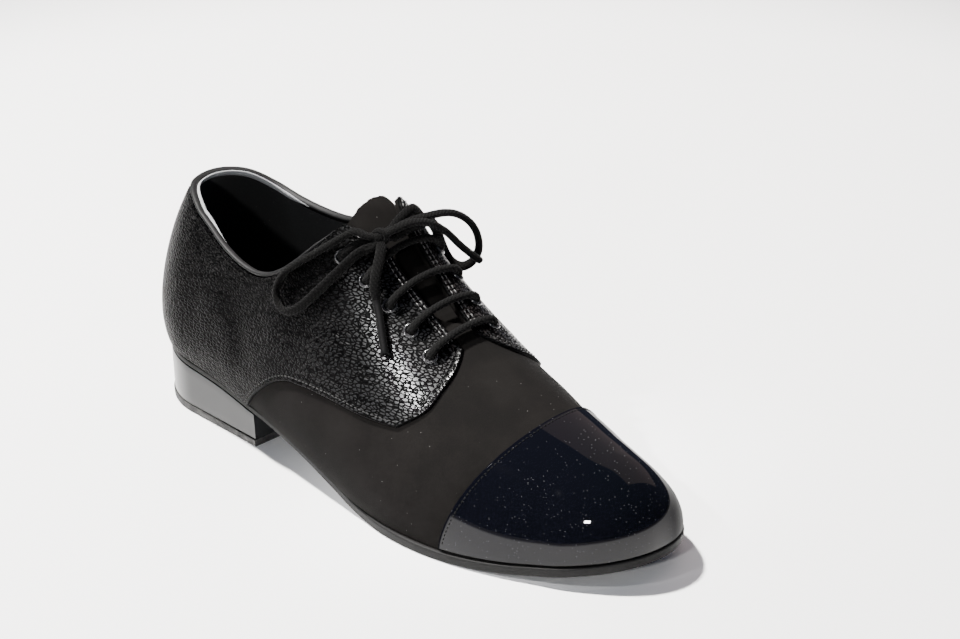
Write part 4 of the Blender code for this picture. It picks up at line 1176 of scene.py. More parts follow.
@dataclass
class Bottom:
    """Sole, heel, lift and insole."""

    heel_front: float = 77.0
    lift_height: float = 3.2
    edge_round: float = 0.8
    insole: float = 2.0
    wall: float = 1.8
    sock_clear: float = 0.9
    breast_run: float = 2.0
    breast_back: float = 0.5

    def rounded(self, theta: Array, inset_low: float, inset_high: float, low: Array, high: Array,
                radius: float) -> Array:
        """Loops from an under face to an upper one with both edges rounded off.

        Args:
            theta: loop angles.
            inset_low: inset of the wall at its foot.
            inset_high: inset of the wall at its head.
            low: heights of the under face.
            high: heights of the upper face.
            radius: radius of the rounded edges.

        Returns:
            Points, level by level.
        """
        turn = np.linspace(0, np.pi / 2, 5)
        flank = np.linspace(0, 1, 6)[1:-1, None]
        leaving, closing = radius * (1 - np.sin(turn)), radius * (1 - np.cos(turn))
        between = inset_low + (inset_high - inset_low) * flank[:, 0]
        inset = np.concatenate([inset_low + leaving, between, inset_high + closing])
        z = np.concatenate([
            low + closing[:, None], low + radius + (high - low - 2 * radius) * flank,
            high - leaving[:, None]])
        place = np.array([LAST.plan(theta, d)[0] for d in inset])
        return np.concatenate([place, z[..., None]], -1)

    def sole(self) -> None:
        """Thin leather sole: its outline lofted from tread to top, with a waxed rounded edge."""
        theta, count = sole_loop(end_packed(150, 0.0, LAST.length))
        x = LAST.station(theta)
        levels = self.rounded(theta, inset_low=0.15, inset_high=0.0, low=LAST.sole_bottom(x),
                              high=LAST.sole_top(x), radius=self.edge_round)
        faces = loft(levels, count)
        kind = np.zeros(len(faces))
        caps = 2 * (count - 1)
        kind[-caps:-caps // 2] = 1
        Piece("sole", levels.reshape(-1, 3), faces, (SOLE_EDGE, SOLE_TREAD), "sole", ("outsole",), kind,
              sharp_deg=65.0).build()

    def heel_levels(self, low: float, high: Optional[Array], inset_low: float, inset_high: float,
                    radius: float) -> tuple:
        """Loops of a heel piece from its foot to its head, closed by the straight breast.

        Args:
            low: height of its foot.
            high: height of its head, or none for the underside of the sole.
            inset_low: inset of its wall at the foot.
            inset_high: inset of its wall at the head.
            radius: radius of its edges.

        Returns:
            The loops, and how many stations a side has.
        """
        x = self.heel_front * (1 - np.cos(np.linspace(0, np.pi / 2, 60)))
        theta, count = sole_loop(x)
        seat = LAST.station(theta)
        top = high if high is not None else LAST.sole_bottom(seat) - LAST.gap
        floor, head = np.full_like(seat, low), np.broadcast_to(top, seat.shape)
        levels = self.rounded(theta, inset_low, inset_high, floor, head, radius)
        breast = np.clip((levels[..., 0] - self.heel_front + self.breast_run) / self.breast_run, 0, 1)
        levels[..., 0] -= self.breast_back * breast
        return levels, count

    def heel(self) -> None:
        """Block heel, a little smaller at its foot, and the rubber lift under it."""
        levels, count = self.heel_levels(self.lift_height + LAST.gap, None, inset_low=1.2, inset_high=0.3,
                                         radius=0.35)
        Piece("heel_block", levels.reshape(-1, 3), loft(levels, count), (LACQUER,), "heel", ("heel",),
              sharp_deg=40.0).build()
        levels, count = self.heel_levels(0.0, np.array(self.lift_height), inset_low=1.0, inset_high=0.8,
                                         radius=0.4)
        Piece("heel_rubber", levels.reshape(-1, 3), loft(levels, count), (RUBBER,), "rubber",
              ("heel_lift",), sharp_deg=40.0).build()

    def sock(self) -> None:
        """Insole on the sole inside the wall, slightly crowned towards its edge."""
        x = end_packed(120, 2.0, LAST.length - 1.0)
        theta, count = sole_loop(x)
        seat = LAST.station(theta)
        inset = SECTIONS.at("ledge", seat) + self.wall + self.sock_clear
        levels = []
        for away, share in ((0.0, 0.0), (0.0, 0.7), (0.5, 0.95), (1.6, 1.0)):
            place = LAST.plan(theta, inset + away)[0]
            z = LAST.sole_top(place[:, 0]) + LAST.gap + self.insole * share
            levels.append(np.column_stack([place, z]))
        points = np.array(levels)
        Piece("sock", points.reshape(-1, 3), loft(points, count), (SOCK,), "lining", ("insole",)).build()


@dataclass
class Upper:
    """The hollow upper with its nubuck face, the tongue and the panels laid on it."""

    wall: float = 1.8
    strip_clear: float = 0.7
    quarter_front: dict = field(default_factory=lambda: {Side.LATERAL: 182.7, Side.MEDIAL: 186.2})
    top_lean: dict = field(default_factory=lambda: {Side.LATERAL: 6.0, Side.MEDIAL: 12.0})
    lean_from: float = 0.5
    lean_curve: float = 2.5
    tip_round: float = 10.5
    tip_share: float = 0.4
    tip_curve: float = 2.6
    cap_seam: dict = field(default_factory=lambda: {Side.LATERAL: 203.5, Side.MEDIAL: 205.0})
    cap_curve: float = 1.35
    cap_ridge: float = 223.5
    cap_length: float = 66.0
    cap_foot: float = 0.012
    tongue_top: float = 113.5
    tongue_front: float = 182.0
    tongue_thick: float = 1.8
    tongue_half: float = 15.0
    tongue_wider: float = 9.0
    tongue_wave: float = 0.25
    heel_seat: float = 76.0
    corner_at: float = 114.0
    corner_run: float = 13.0
    corner_finer: float = 1.6
    panel_foot: float = 0.1
    border_step: float = 0.2
    corner_cut: float = 0.92
    thread_sink: float = 0.02
    lap_row: float = 2.1
    second_row: float = 3.6
    facing_rows: tuple = (1.6, 3.6)
    patent_row: float = 1.9
    edge: FoldedEdge = FoldedEdge()
    patent_edge: FoldedEdge = FoldedEdge(height=1.1, fold=0.5, bead=0.0, groove=0.0)

    def creases(self) -> tuple:
        """Soft hollows of the quarters behind the ankle and of the vamp beside the ball."""
        return (
            Crease(Side.LATERAL, ((58, 78), (66, 64), (72, 50), (77, 36)), depth=0.9, width=6.0),
            Crease(Side.LATERAL, ((44, 74), (50, 60), (56, 46)), depth=-0.5, width=7.0),
            Crease(Side.LATERAL, ((86, 76), (92, 64), (97, 54)), depth=-0.5, width=6.0),
            Crease(Side.MEDIAL, ((58, 78), (66, 64), (73, 48)), depth=0.8, width=7.0),
            Crease(Side.MEDIAL, ((150, 60), (160, 50), (168, 36)), depth=0.4, width=6.0),
            Crease(Side.LATERAL, ((186, 44), (193, 34), (197, 24)), depth=0.25, width=5.0),
        )

    def relief(self, face: Array) -> Array:
        """Depth of all creases at the points of a face, for its own side."""
        flat = face.reshape(-1, 3)
        depth = sum(np.where((flat[:, 1] < 0) == (crease.side is Side.LATERAL), crease.sink(flat), 0.0)
                    for crease in self.creases())
        return depth.reshape(face.shape[:-1])

    def body(self) -> None:
        """Hollow wall of vamp and lining: the upper's face and its inner offset, open at the top."""
        fine = np.linspace(0, np.pi, 401)
        away = (LAST.station(fine) - self.corner_at) / self.corner_run
        crowd = np.cumsum(1 + self.corner_finer * np.exp(-away ** 2))
        side = np.interp(np.linspace(crowd[0], crowd[-1], 181), crowd, fine)
        theta = np.concatenate([side, 2 * np.pi - side[-2:0:-1]])
        rim = LAST.along(LAST.rim, theta)
        t = rim[:, None] * np.linspace(0, 1, 84)[None, :] ** 1.1
        loop = np.broadcast_to(theta[:, None], t.shape)
        face, out = LAST.face(loop, t)
        front = face - out * self.relief(face)[..., None]
        back = face - out * self.wall
        quads, on_back = shell_faces(*t.shape, wrap=True, open_top=rim < 0.9999)
        points = front_and_back(front, back)
        Piece("vamp", points, quads.tolist(), (NUBUCK, LINING), "nubuck", ("upper",), on_back).build()

    def strip_edge(self, t: Array, clear: float) -> Array:
        """Loop angle at which the back strip ends, plus a clearance in millimetres, at height t."""
        probe = 0.05
        left, right = (LAST.surface(np.full_like(t, angle), t) for angle in (probe, -probe))
        reach = np.linalg.norm(left[..., :2] - right[..., :2], axis=-1)
        return (STRIP.at("half_width", left[..., 2]) + clear) * 2 * probe / reach

    def strip_height(self, v: Array) -> Array:
        """Height parameter up the heel back, from just over the sole (0) to the collar (1)."""
        middle = np.zeros(1)
        foot = LAST.along(LAST.low_line, middle)
        return foot + (LAST.along(LAST.closed_rim, middle) - foot) * v

    def quarter_line(self, side: Side, s: Array, v: Array) -> tuple:
        """Loop angle and height parameter over a quarter.

        Args:
            side: the quarter's side.
            s: 0 at the back strip, 1 at the front edge.
            v: 0 at the lower edge, 1 at collar and facing.

        Returns:
            Loop angles and height parameters.
        """
        s, v = np.broadcast_arrays(s, v)
        tip = self.tip_round * np.clip(1 - v / self.tip_share, 0, 1) ** self.tip_curve
        upper = np.clip((v - self.lean_from) / (1 - self.lean_from), 0, 1)
        lean = self.top_lean[side] * upper ** self.lean_curve
        front = np.arccos(1 - 2 * (self.quarter_front[side] - tip - lean) / LAST.length)
        back = self.strip_edge(self.strip_height(v), self.strip_clear)
        theta = LAST.on_side(back + (front - back) * s, side)
        low, high = LAST.along(LAST.low_line, theta), LAST.along(LAST.closed_rim, theta)
        return theta, low + (high - low) * v

    def panel(self, name: str, theta: Array, t: Array, border: Array, edge: FoldedEdge, finish: Finish,
              slot: str, node: str, open_last: bool = True) -> None:
        """Panel laid on the upper: its face rises from its border as a folded edge does.

        Args:
            name: the object's name.
            theta: loop angles on a grid.
            t: height parameters on the grid.
            border: points of the edge that is folded.
            edge: the folded edge's cross-section.
            finish: the panel's finish.
            slot: the record's material slot; not used.
            node: the solid that it stands for.
            open_last: whether the grid's last row is an open edge.
        """
        face, out = LAST.face(theta, t)
        away = nearest(face.reshape(-1, 3), resample(border, self.border_step))
        rise = edge.rise(away).reshape(t.shape) - self.relief(face)
        front, back = face + out * rise[..., None], face + out * self.panel_foot
        quads, _ = shell_faces(*t.shape, open_last=open_last)
        points = front_and_back(front, back)
        Piece(name, points, quads.tolist(), (finish,), slot, (node,),
              edge_mm=np.concatenate([away, away])).build()

    def seam(self, theta: Array, t: Array, border: Array, edge: FoldedEdge, inset: float,
             inward: float) -> tuple:
        """Line for a stitch row at a distance inside an edge; it cuts across tight corners.

        Args:
            theta: loop angles of the edge, in order.
            t: height parameters of the edge.
            border: points of the panel's folded border.
            edge: the folded edge's cross-section.
            inset: distance from the edge.
            inward: sign that turns the edge's side direction into the panel.

        Returns:
            The row's points on the leather and the outward directions there.
        """
        line, out = LAST.face(theta, t)
        run = unit(np.gradient(line, axis=0))
        moved = line + unit(np.cross(out, run)) * inward * inset
        clear = nearest(moved, resample(border, self.border_step)) > self.corner_cut * inset
        lift = edge.rise(np.array([inset]))[0] - self.thread_sink
        return (moved + out * lift)[clear], out[clear]

    def quarter(self, side: Side) -> None:
        """Grained quarter, folded and stitched along its edges, but not where it goes into the sole."""
        name = side.name.lower()
        s = crowded(150, 200.0)[:, None]
        v = crowded(66, 60.0)[None, :]
        theta, t = self.quarter_line(side, s, v)
        fine = np.linspace(0, 1, 900)
        low = self.quarter_line(side, fine, np.zeros(1))
        front = self.quarter_line(side, np.ones(1), fine)
        top = self.quarter_line(side, fine[::-1], np.ones(1))
        back = self.quarter_line(side, np.zeros(1), fine[::-1])
        wing = np.stack(low)[:, LAST.station(low[0]) > self.heel_seat]
        facing = np.stack(top)[:, LAST.station(top[0]) > FACING.rows[2][0]]
        border = np.concatenate([LAST.surface(*edge) for edge in (wing, front, facing, back)])
        self.panel("quarter_" + name, theta, t, border, self.edge, GRAIN, "grain", "quarter_" + name)
        inward = 1.0 if side is Side.LATERAL else -1.0
        lap = np.concatenate([wing, np.stack(front)], axis=1)
        rows = [
            self.seam(*lap, border, self.edge, self.lap_row, inward),
            self.seam(*(part[220:880] for part in front), border, self.edge, self.second_row, inward),
        ]
        stitches("quarter_stitches_" + name, rows, StitchRow(), "grain")
        rows = [self.seam(*facing[:, 20:], border, self.edge, away, inward) for away in self.facing_rows]
        kind = StitchRow(pitch=2.6, stitch=2.1, thread=0.28)
        # facing stitches in the pale thread: a painted glint
        stitches("facing_stitches_" + name, rows, kind, "grain", GLINT_PAINTED_THREAD)

    def back_strip(self) -> None:
        """Patent strip up the heel back between the quarters, stitched along both edges."""
        u = (crowded(18, 24.0) * 2 - 1)[:, None]
        v = crowded(60, 70.0)[None, :]
        theta = u * self.strip_edge(self.strip_height(v), 0.0)
        foot = self.strip_height(np.zeros(1))
        head = LAST.along(LAST.closed_rim, theta[:, -1])[:, None]
        t = foot + (head - foot) * v
        border = np.concatenate([LAST.surface(theta[0], t[0]), LAST.surface(theta[-1], t[-1])[::-1]])
        self.panel("heel_strip", theta, t, border, self.patent_edge, PATENT, "patent", "back_strip")
        rows = [self.seam(theta[k], t[k], border, self.patent_edge, self.patent_row, inward)
                for k, inward in ((0, -1.0), (-1, 1.0))]
        stitches("heel_strip_stitches", rows, StitchRow(), "patent", DARK_THREAD)

    def cap_line(self, across: Array, s: Array) -> tuple:
        """Loop angle and height parameter over the toe cap.

        Args:
            across: -1 at the lateral foot, 0 on the ridge, 1 at the medial foot.
            s: 0 at the seam, 1 at the tip.

        Returns:
            Loop angles and height parameters.
        """
        across, s = np.broadcast_arrays(across, s)
        up = 1 - np.abs(across)
        lateral = across < 0
        start = np.where(lateral, self.cap_seam[Side.LATERAL], self.cap_seam[Side.MEDIAL])
        seam = start + (self.cap_ridge - start) * np.sin(up * np.pi / 2) ** self.cap_curve
        x = seam + (LAST.length - seam) * s
        return LAST.angle_where(x, lateral), self.cap_foot + (1 - self.cap_foot) * up

    def toe_cap(self) -> None:
        """Patent toe cap with a folded, stitched seam edge across the vamp."""
        across = np.sin(np.linspace(-1, 1, 170) * np.pi / 2)[None, :]
        rest = np.sin(np.linspace(0, np.pi / 2, 70))
        near = FINE_EDGE / self.cap_length
        s = np.concatenate([near, rest[rest > near[-1] * 1.4]])[:, None]
        theta, t = self.cap_line(across, s)
        fine = np.linspace(-1, 1, 1200)
        seam = self.cap_line(fine, np.zeros(1))
        border = LAST.surface(*seam)
        self.panel("toe_cap_patent", theta, t, border, self.patent_edge, PATENT, "patent", "toe_cap",
                   open_last=False)
        short = (part[15:-15] for part in seam)
        rows = [self.seam(*short, border, self.patent_edge, self.patent_row, -1.0)]
        kind = StitchRow(pitch=1.9, stitch=1.45, thread=0.24)
        stitches("toe_cap_stitches", rows, kind, "patent", DARK_THREAD)

    def tongue(self) -> None:
        """Nubuck tongue under the facings: soft waves and a rough-cut top edge."""
        long_run = np.linspace(self.tongue_front, 116.0, 70)
        x = np.concatenate([long_run, np.linspace(115.6, self.tongue_top, 6)])
        y = np.linspace(-1, 1, 64)
        half = self.tongue_half + self.tongue_wider * smooth_step(self.tongue_front, 135.0, x)
        cut = 0.16 * np.sin(y * 19.0) + 0.12 * np.sin(y * 43.0 + 1.0) - 2.2 * np.abs(y) ** 6
        ends = smooth_step(122.0, self.tongue_top, x)
        plan_x = x[:, None] - cut[None, :] * ends[:, None]
        plan_y = -0.5 + half[:, None] * y[None, :]
        theta, t = (part.reshape(plan_x.shape) for part in LAST.over(plan_x.ravel(), plan_y.ravel()))
        face, out = LAST.face(theta, t)
        inner = smooth_step(1.0, 0.5, np.abs(y))[None, :]
        wave = self.tongue_wave * np.sin(plan_x * 0.33 + 1.0) * np.cos(plan_y * 0.16) * inner
        top = -(self.wall + 1.0) + wave
        front, back = face + out * top[..., None], face + out * (top - self.tongue_thick)[..., None]
        quads, _ = shell_faces(*t.shape)
        points = front_and_back(front, back)
        Piece("tongue_nubuck", points, quads.tolist(), (NUBUCK,), "nubuck", ("tongue",)).build()

    def build(self) -> None:
        """All pieces of the upper, in the order they are sewn."""
        self.body()
        self.tongue()
        for side in Side:
            self.quarter(side)
        self.back_strip()
        self.toe_cap()


def from_ends(count: int) -> Array:
    """Steps from the nearer end at each place of a run."""
    return np.minimum(np.arange(count), np.arange(count)[::-1])


def tube(line: Array, up: Array, wide: Number, tall: Number, sides: int) -> tuple:
    """Tube carried along a line: an ellipse, wide across and tall along the given up direction.

    Args:
        line: the tube's centre line.
        up: up directions along it.
        wide: half width: one value, a column along the line, or a grid along and round it.
        tall: half height, given in the same way.
        sides: points round the tube.

    Returns:
        Points, faces and a map of each face corner, in millimetres along and turns around.
    """
    run = unit(np.gradient(line, axis=0))
    across = unit(np.cross(run, up))
    rise = np.cross(across, run)
    turn = np.linspace(0, 2 * np.pi, sides, endpoint=False)
    points = line[:, None, :] + across[:, None, :] * (wide * np.cos(turn))[..., None]
    points = points + rise[:, None, :] * (tall * np.sin(turn))[..., None]
    rows = len(line)
    quads = grid_quads(rows, sides, False, True)
    length = run_length(line)
    i, j = (part.ravel() for part in np.meshgrid(np.arange(rows - 1), np.arange(sides), indexing="ij"))
    u = np.stack([length[i], length[i + 1], length[i + 1], length[i]], -1)
    w = np.stack([j, j, j + 1, j + 1], -1) / sides
    caps = [tuple(range(sides)), tuple(range((rows - 1) * sides, rows * sides))]
    uv = np.concatenate([np.stack([u, w], -1).reshape(-1, 2), np.zeros((2 * sides, 2))])
    return points.reshape(-1, 3), quads[:, ::-1].tolist() + [caps[0], caps[1][::-1]], uv


def tube_piece(name: str, shape: tuple, finish: Finish, slot: str,
               replaced: tuple = ()) -> bpy.types.Object:
    """Object from the points, faces and map of a tube."""
    points, faces, uv = shape
    return Piece(name, points, faces, (finish,), slot, replaced, corner_uv=uv, merge=False).build()


def carried_up(line: Array, start: Sequence) -> Array:
    """Up directions carried along a line without twisting, from a first direction."""
    run = unit(np.gradient(line, axis=0))
    ups = [np.asarray(start, float)]
    for ahead in run:
        last = ups[-1] - ahead * (ups[-1] @ ahead)
        ups.append(last / np.linalg.norm(last))
    return np.array(ups[1:])


@dataclass
class Collar:
    """Rolled binding on the collar's rim, with the felt edge of the lining showing inside it."""

    wide: float = 3.5
    tall: float = 2.1
    gap: float = 0.5
    overlay_out: float = 1.6
    wall: float = 1.8
    front: float = 111.0
    probe: float = 0.01
    row_drop: float = 0.018
    row_lift: float = 1.22
    felt_medial: float = 48.0
    felt_lateral: float = 51.0
    felt_wide: float = 0.6
    felt_tall: float = 1.5

    def line(self, first: float, last: float, count: int) -> tuple:
        """Middle of the binding between two loop angles, with its up and outward directions."""
        theta = np.linspace(first, last, count)
        t = LAST.along(LAST.closed_rim, theta)
        face, out = LAST.face(theta, t)
        up = unit(face - LAST.surface(theta, t - self.probe))
        middle = face + up * (self.gap + self.tall / 2) + out * (self.overlay_out - self.wall) / 2
        return middle, up, out

    def build(self) -> None:
        """Binding, its stitch row and the felt edge."""
        end = float(LAST.angle(self.front, Side.LATERAL))
        middle, up, _ = self.line(-end, end, 420)
        taper = np.clip(from_ends(len(middle)) / 6.0, 0.25, 1.0)[:, None]
        shape = tube(middle, up, self.wide / 2 * taper, self.tall / 2 * taper, 16)
        tube_piece("binding", shape, BINDING, "binding", ("collar_binding",))
        theta = np.linspace(-end, end, 500)
        t = LAST.along(LAST.closed_rim, theta)
        out = LAST.normal(theta, t)
        row = LAST.surface(theta, t - self.row_drop) + out * self.row_lift
        kind = StitchRow(pitch=2.4, stitch=1.8, thread=0.24)
        stitches("binding_stitches", [(row, out)], kind, "binding", DARK_THREAD)
        self.felt()

    def felt(self) -> None:
        """Pale frayed felt edge inside the back half of the collar: a ribbon with a ragged rim."""
        first = float(LAST.angle(self.felt_medial, Side.MEDIAL)) - 2 * np.pi
        last = float(LAST.angle(self.felt_lateral, Side.LATERAL))
        middle, up, out = self.line(first, last, 900)
        turn = np.arange(len(middle))
        ragged = 0.22 * np.sin(turn * 0.9) * np.sin(turn * 0.37) + 0.16 * np.sin(turn * 2.3 + 1.0)
        ends = np.clip(from_ends(len(middle)) / 60.0, 0.15, 1.0)
        core = middle - out * (self.wide / 2 + 0.1) + up * (0.2 + 0.25 * ragged)[:, None]
        tall = (self.felt_tall + 0.5 * ragged) * ends
        shape = tube(core, up, (self.felt_wide * ends)[:, None], tall[:, None], 10)
        tube_piece("lining_edge", shape, FELT, "lining")


@dataclass
class Eyelets:
    """Enamelled rings set square to the facings: a profile turned about the eyelet's own axis."""

    bore: float = 2.1
    flange: float = 3.5
    seat: float = 1.25
    roll: float = 0.95
    barrel: float = 1.9
    sides: int = 28

    def seats(self) -> list:
        """Name, face point and outward direction of each eyelet."""
        found = []
        for row, pair in enumerate(EYELETS, start=1):
            for side, (x, y) in zip(Side, pair):
                theta, t = LAST.over(np.array([x]), np.array([y]))
                (place,), (out,) = LAST.face(theta, t)
                found.append((f"eyelet_{side.name.lower()}_{row}", place, out))
        return found

    def build(self) -> None:
        """Ten rings, each with a rolled flange and a barrel through the facing."""
        roll = np.linspace(0, np.pi, 9)
        ring = (self.bore + self.flange) / 2
        half = (self.flange - self.bore) / 2
        inner = self.bore + np.array([0.0, 0.3, 0.4])
        radius = np.concatenate([ring + half * np.cos(roll), inner])
        rolled = self.seat + self.roll * np.sin(roll) ** 0.8
        height = np.concatenate([rolled, [-self.barrel, -self.barrel, self.seat]])
        turn = np.linspace(0, 2 * np.pi, self.sides, endpoint=False)
        faces = grid_quads(self.sides, len(radius), True, True).tolist()
        for name, place, out in self.seats():
            side = unit(np.cross(out, np.array([0.0, 1.0, 0.3])))
            front = np.cross(out, side)
            spoke = side * np.cos(turn)[:, None] + front * np.sin(turn)[:, None]
            points = place + spoke[:, None, :] * radius[None, :, None] + out * height[None, :, None]
            Piece(name + "_ring", points.reshape(-1, 3), faces, (ENAMEL,), "enamel", (name,)).build()


@dataclass
class Lace:
    """Braided lace: bars through the eyelets, two feeds, and the bow with its knot, loops and ends."""

    wide: float = 2.25
    tall: float = 1.55
    relief: float = 0.14
    plait: float = 2.1
    strands: int = 7
    step: float = 0.6
    sides: int = 28
    tip: float = 24.0
    cad_diameter: float = 3.4
    core_long: float = 3.4
    core_wide: float = 3.0
    core_tall: float = 2.7
    wrap_first: tuple = (3.0, 0.9, 0.0)
    wrap_second: tuple = (0.2, 0.3, 2.7)
    wrap_wide: float = 1.9
    wrap_tall: float = 1.2
    stub_share: float = 0.96
    up_start: tuple = (0.0, 0.2, 1.0)
    bar_lift: float = 3.5
    bar_rise: float = 0.9
    aglet_radius: float = 1.66
    aglet_flat: float = 0.94
    aglet_sides: int = 18
    knot_sides: int = 20

    def cord(self, name: str, line: Array, up: Array, node: str,
             slim: Optional[Array] = None) -> bpy.types.Object:
        """Braided tube along a line: an oval whose radius carries a diamond relief.

        Args:
            name: the object's name.
            line: the cord's centre line.
            up: up directions along it.
            node: the solid that it stands for.
            slim: share of the full girth at each point.

        Returns:
            The object.
        """
        girth = np.ones(len(line)) if slim is None else slim
        length = run_length(line)
        turn = np.arange(self.sides) / self.sides
        run, lean = np.pi * length[:, None] / self.plait, np.pi * self.strands * turn[None, :]
        weave = np.abs(np.sin(run + lean) * np.sin(run - lean))
        wide = (self.wide + self.relief * (weave - 0.4)) * girth[:, None]
        tall = (self.tall + self.relief * (weave - 0.4)) * girth[:, None]
        return tube_piece(name, tube(line, up, wide, tall, self.sides), BRAID, "lace", (node,))

    def bar(self, row: int, seats: dict) -> None:
        """Bar of one row: up through an eyelet, flat across the throat and down through the other."""
        (x0, y0), (x1, y1) = EYELETS[row - 1]
        s = np.linspace(0.09, 0.91, 9)
        theta, t = LAST.over(x0 + (x1 - x0) * s, y0 + (y1 - y0) * s)
        lift = self.bar_lift + self.bar_rise * np.abs(2 * s - 1) ** 2
        across = LAST.lifted(theta, t, lift)
        left, left_out = seats[f"eyelet_lateral_{row}"]
        right, right_out = seats[f"eyelet_medial_{row}"]
        drop = np.array([-2.0, 0.2, 2.2])[:, None]
        route = np.concatenate([left + left_out * drop, across, (right + right_out * drop)[::-1]])
        line = smooth_route(route, self.step, 3)
        flat = unit(np.cross(unit(np.gradient(line, axis=0)), np.array([1.0, 0.0, 0.55])))
        slim = 1 - 0.12 * np.exp(-(from_ends(len(line)) / 8.0) ** 2)
        self.cord(f"lace_cross_{row}", line, flat, f"lace_bar_{row}", slim)

    def free(self, kind: str, route: Array, far_end: str, tip: bool) -> Array:
        """A free strand of the bow, made as a cord of its own length.

        Args:
            kind: which strand it is, as its piece and its solid are named.
            route: the strand's route points.
            far_end: what its far end goes to; not used.
            tip: whether it ends in an aglet.

        Returns:
            The strand's centre line.
        """
        name = "lace_bow_" + kind
        line = smooth_route(route, self.step)
        up = carried_up(line, self.up_start)
        length = run_length(line)
        girth = np.ones(len(line))
        if tip:
            start = length[-1] - self.tip
            girth = 1 - 0.22 * smooth_step(start - 3.0, start + 1.0, length)
            sleeve = length > start
            end = np.clip((length[-1] - length[sleeve]) / 1.2, 0.0, 1.0)
            wide = (self.aglet_radius - 0.25 * (1 - end) ** 2)[:, None]
            shape = tube(line[sleeve], up[sleeve], wide, wide * self.aglet_flat, self.aglet_sides)
            tube_piece(name + "_aglet", shape, AGLET, "lace")
        made = self.cord(name, line, up, "lace_" + kind, girth)
        return line

    def knot(self, ends: Sequence) -> None:
        """Bow knot: a rounded core, one wrap of lace round it, and stubs that run on into the strands.

        Args:
            ends: the first few points of each strand, from its end at the knot on.
        """
        centre = np.array(KNOT)
        turn = np.linspace(0, 2 * np.pi, 60)
        wrap = centre + np.outer(np.cos(turn), self.wrap_first) + np.outer(np.sin(turn), self.wrap_second)
        s = np.linspace(-1, 1, 21)
        core = centre + np.outer(s * self.core_long, (0.25, 1.0, 0.0))
        swell = np.sqrt(1 - 0.995 * s ** 2)[:, None]
        upright = np.tile((0.0, 0.0, 1.0), (len(s), 1))
        parts = [
            tube(wrap, unit(wrap - centre), self.wrap_wide, self.wrap_tall, self.knot_sides),
            tube(core, upright, self.core_wide * swell, self.core_tall * swell, self.knot_sides),
        ]
        for end in ends:
            route = np.stack([end[6], end[3], end[0], (end[0] + centre) / 2, centre])
            line = smooth_route(route, self.step, 2)
            wide, tall = self.stub_share * self.wide, self.stub_share * self.tall
            parts.append(tube(line, carried_up(line, self.up_start), wide, tall, self.knot_sides))
        starts = np.cumsum([0] + [len(points) for points, _, _ in parts[:-1]])
        faces = []
        for (_, corners, _), start in zip(parts, starts):
            faces += [tuple(v + start for v in face) for face in corners]
        points, uv = (np.concatenate([part[k] for part in parts]) for k in (0, 2))
        tube_piece("lace_bow_knot", (points, faces, uv), BRAID, "lace", ("lace_knot",))

    def build(self, seats: dict) -> None:
        """The bow first, then the feeds and the bars."""
        loops = [
            self.free("loop_medial", LOOP_MEDIAL, "knot", tip=False),
            self.free("loop_lateral", LAST.beside(LOOP_LATERAL), "knot", tip=False),
        ]
        tails = [
            self.free("end_medial", END_MEDIAL, "fitting", tip=True),
            self.free("end_lateral", LAST.beside(END_LATERAL), "fitting", tip=True),
        ]
        self.knot([line[:8] for line in loops + tails] + [line[::-1][:8] for line in loops])
        for side, rest in (("lateral", LAST.beside(FEED_LATERAL)), ("medial", LAST.above(FEED_MEDIAL))):
            place, out = seats[f"eyelet_{side}_5"]
            rise = place + out * np.array([[-2.0], [0.2], [2.4]])
            route = np.concatenate([rise, rest[1:], [np.array(KNOT)]])
            line = smooth_route(route, self.step, 4)
            up = carried_up(line, np.array([0.3, 0.3, 1.0]))
            self.cord("lace_strand_" + side, line, up, "lace_feed_" + side)
        for row in range(1, len(EYELETS)):
            self.bar(row, seats)


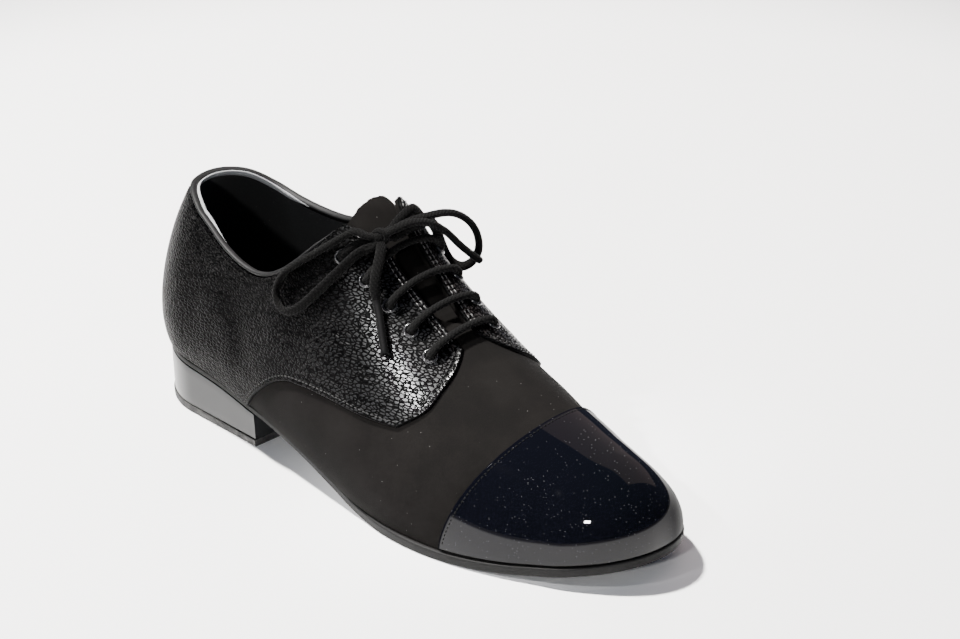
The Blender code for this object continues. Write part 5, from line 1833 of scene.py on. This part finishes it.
@dataclass
class Studio:
    """Camera at the photo's angle, pale floor and soft lights."""

    azimuth: float = 45.4196
    elevation: float = 26.3133
    distance: float = 2181.373
    target: tuple = (98.0046, 80.0658, 28.9655)
    lens: float = 186.08
    sensor: float = 36.0
    spot_radius: float = 0.06
    spot_blend: float = 0.9
    sky_colour: tuple = (0.55, 0.65, 0.90, 1.0)
    sky_strength: float = 0.22
    floor: float = 4.0
    # pale floor colour, and a painted falloff of light that darkens it between two radii in metres
    floor_near: tuple = (0.88, 0.88, 0.88)
    floor_painted_dark: tuple = (0.13, 0.13, 0.14)
    painted_falloff_from: float = 0.40
    painted_falloff_to: float = 0.64
    aim_height: float = 0.05

    def direction(self, azimuth: float, elevation: float) -> Array:
        """Direction from the shoe for an azimuth (0 looks along +y) and an elevation, in degrees."""
        a, e = math.radians(azimuth), math.radians(elevation)
        return np.array([math.sin(a) * math.cos(e), -math.cos(a) * math.cos(e), math.sin(e)])

    def place(self, name: str, data: bpy.types.ID, spot: Array, back: Array) -> bpy.types.Object:
        """Put a camera or a light in the scene.

        Args:
            name: the object's name.
            data: the camera or light.
            spot: where it stands, in metres.
            back: direction to it from what it looks at.

        Returns:
            The object.
        """
        made = bpy.data.objects.new(name, data)
        made.location = spot
        made.rotation_euler = Vector(-back).to_track_quat("-Z", "Y").to_euler()
        bpy.context.scene.collection.objects.link(made)
        return made

    def camera(self) -> None:
        """Camera of the photo."""
        back = self.direction(self.azimuth, self.elevation)
        data = bpy.data.cameras.new("camera")
        data.lens = self.lens
        data.sensor_width = self.sensor
        data.clip_start, data.clip_end = 0.05, 50.0
        spot = in_frame(np.array(self.target) + back * self.distance)
        bpy.context.scene.camera = self.place("camera", data, spot, back)

    def light(self, name: str, azimuth: float, elevation: float, away: float, size: float, power: float,
              colour: tuple = (1.0, 1.0, 1.0)) -> None:
        """Square soft light that looks at the shoe.

        Args:
            name: the light's name.
            azimuth: its direction round the shoe, in degrees.
            elevation: its height over the horizon, in degrees.
            away: its distance in metres.
            size: its side in metres.
            power: its power in watts.
            colour: its colour.
        """
        data = bpy.data.lights.new(name, "AREA")
        data.size, data.energy, data.color = size, power, colour
        back = self.direction(azimuth, elevation)
        self.place(name, data, back * away + np.array([0.0, 0.0, self.aim_height]), back)

    def kicker(self, azimuth: float, elevation: float, away: float, aim: tuple, cone: float,
               power: float) -> None:
        """Narrow soft spot on the grained facings.

        Args:
            azimuth: its direction from the place it aims at, in degrees.
            elevation: its height over the horizon, in degrees.
            away: its distance in metres.
            aim: the place it aims at, in the shoe's own millimetres.
            cone: full angle of its cone, in degrees.
            power: its power in watts.
        """
        data = bpy.data.lights.new("kicker", "SPOT")
        data.energy, data.shadow_soft_size = power, self.spot_radius
        data.spot_size, data.spot_blend = math.radians(cone), self.spot_blend
        back = self.direction(azimuth, elevation)
        self.place("kicker", data, in_frame(aim) + back * away, back)

    def build(self) -> None:
        """Floor with a painted falloff of light away from the shoe, world and lights."""
        half = self.floor / 2
        mesh = bpy.data.meshes.new("floor")
        corners = [(-half, -half, 0), (half, -half, 0), (half, half, 0), (-half, half, 0)]
        mesh.from_pydata(corners, [], [(0, 1, 2, 3)])
        floor = bpy.data.objects.new("floor", mesh)
        g = Graph("floor")
        # painted falloff of light: the floor's colour darkens away from the shoe
        far = g.away((*in_frame(self.target)[:2], 0.0)).ramp(self.painted_falloff_from, self.painted_falloff_to)
        g.set(Base_Color=g.mix(self.floor_near, self.floor_painted_dark, far), Roughness=0.7)
        mesh.materials.append(g.material)
        bpy.context.scene.collection.objects.link(floor)
        world = bpy.data.worlds.new("studio")
        world.use_nodes = True
        sky = world.node_tree.nodes["Background"]
        sky.inputs["Color"].default_value = self.sky_colour
        sky.inputs["Strength"].default_value = self.sky_strength
        bpy.context.scene.world = world
        self.light("key", azimuth=-70.0, elevation=68.0, away=1.6, size=0.10, power=160.0,
                   colour=(1.0, 0.98, 0.95))
        self.light("front", azimuth=26.0, elevation=21.7, away=1.9, size=0.10, power=16.0)
        self.kicker(azimuth=-9.0, elevation=45.0, away=1.5, aim=(177.0, -33.0, 54.0), cone=4.5,
                    power=410.0)
        self.light("warm", azimuth=190.0, elevation=52.0, away=1.6, size=1.8, power=9.0,
                   colour=(1.0, 0.78, 0.68))


def main() -> None:
    """Build the camera, the lace and then the shoe's pieces in order."""
    logging.basicConfig(level=logging.INFO, format="%(name)s %(message)s")
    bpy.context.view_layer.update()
    studio = Studio()
    studio.camera()
    eyelets = Eyelets()
    seats = {name: (place, out) for name, place, out in eyelets.seats()}
    Lace().build(seats)
    bottom = Bottom()
    bottom.sole()
    bottom.heel()
    bottom.sock()
    Upper().build()
    Collar().build()
    eyelets.build()
    studio.build()


if __name__ == "__main__":
    main()
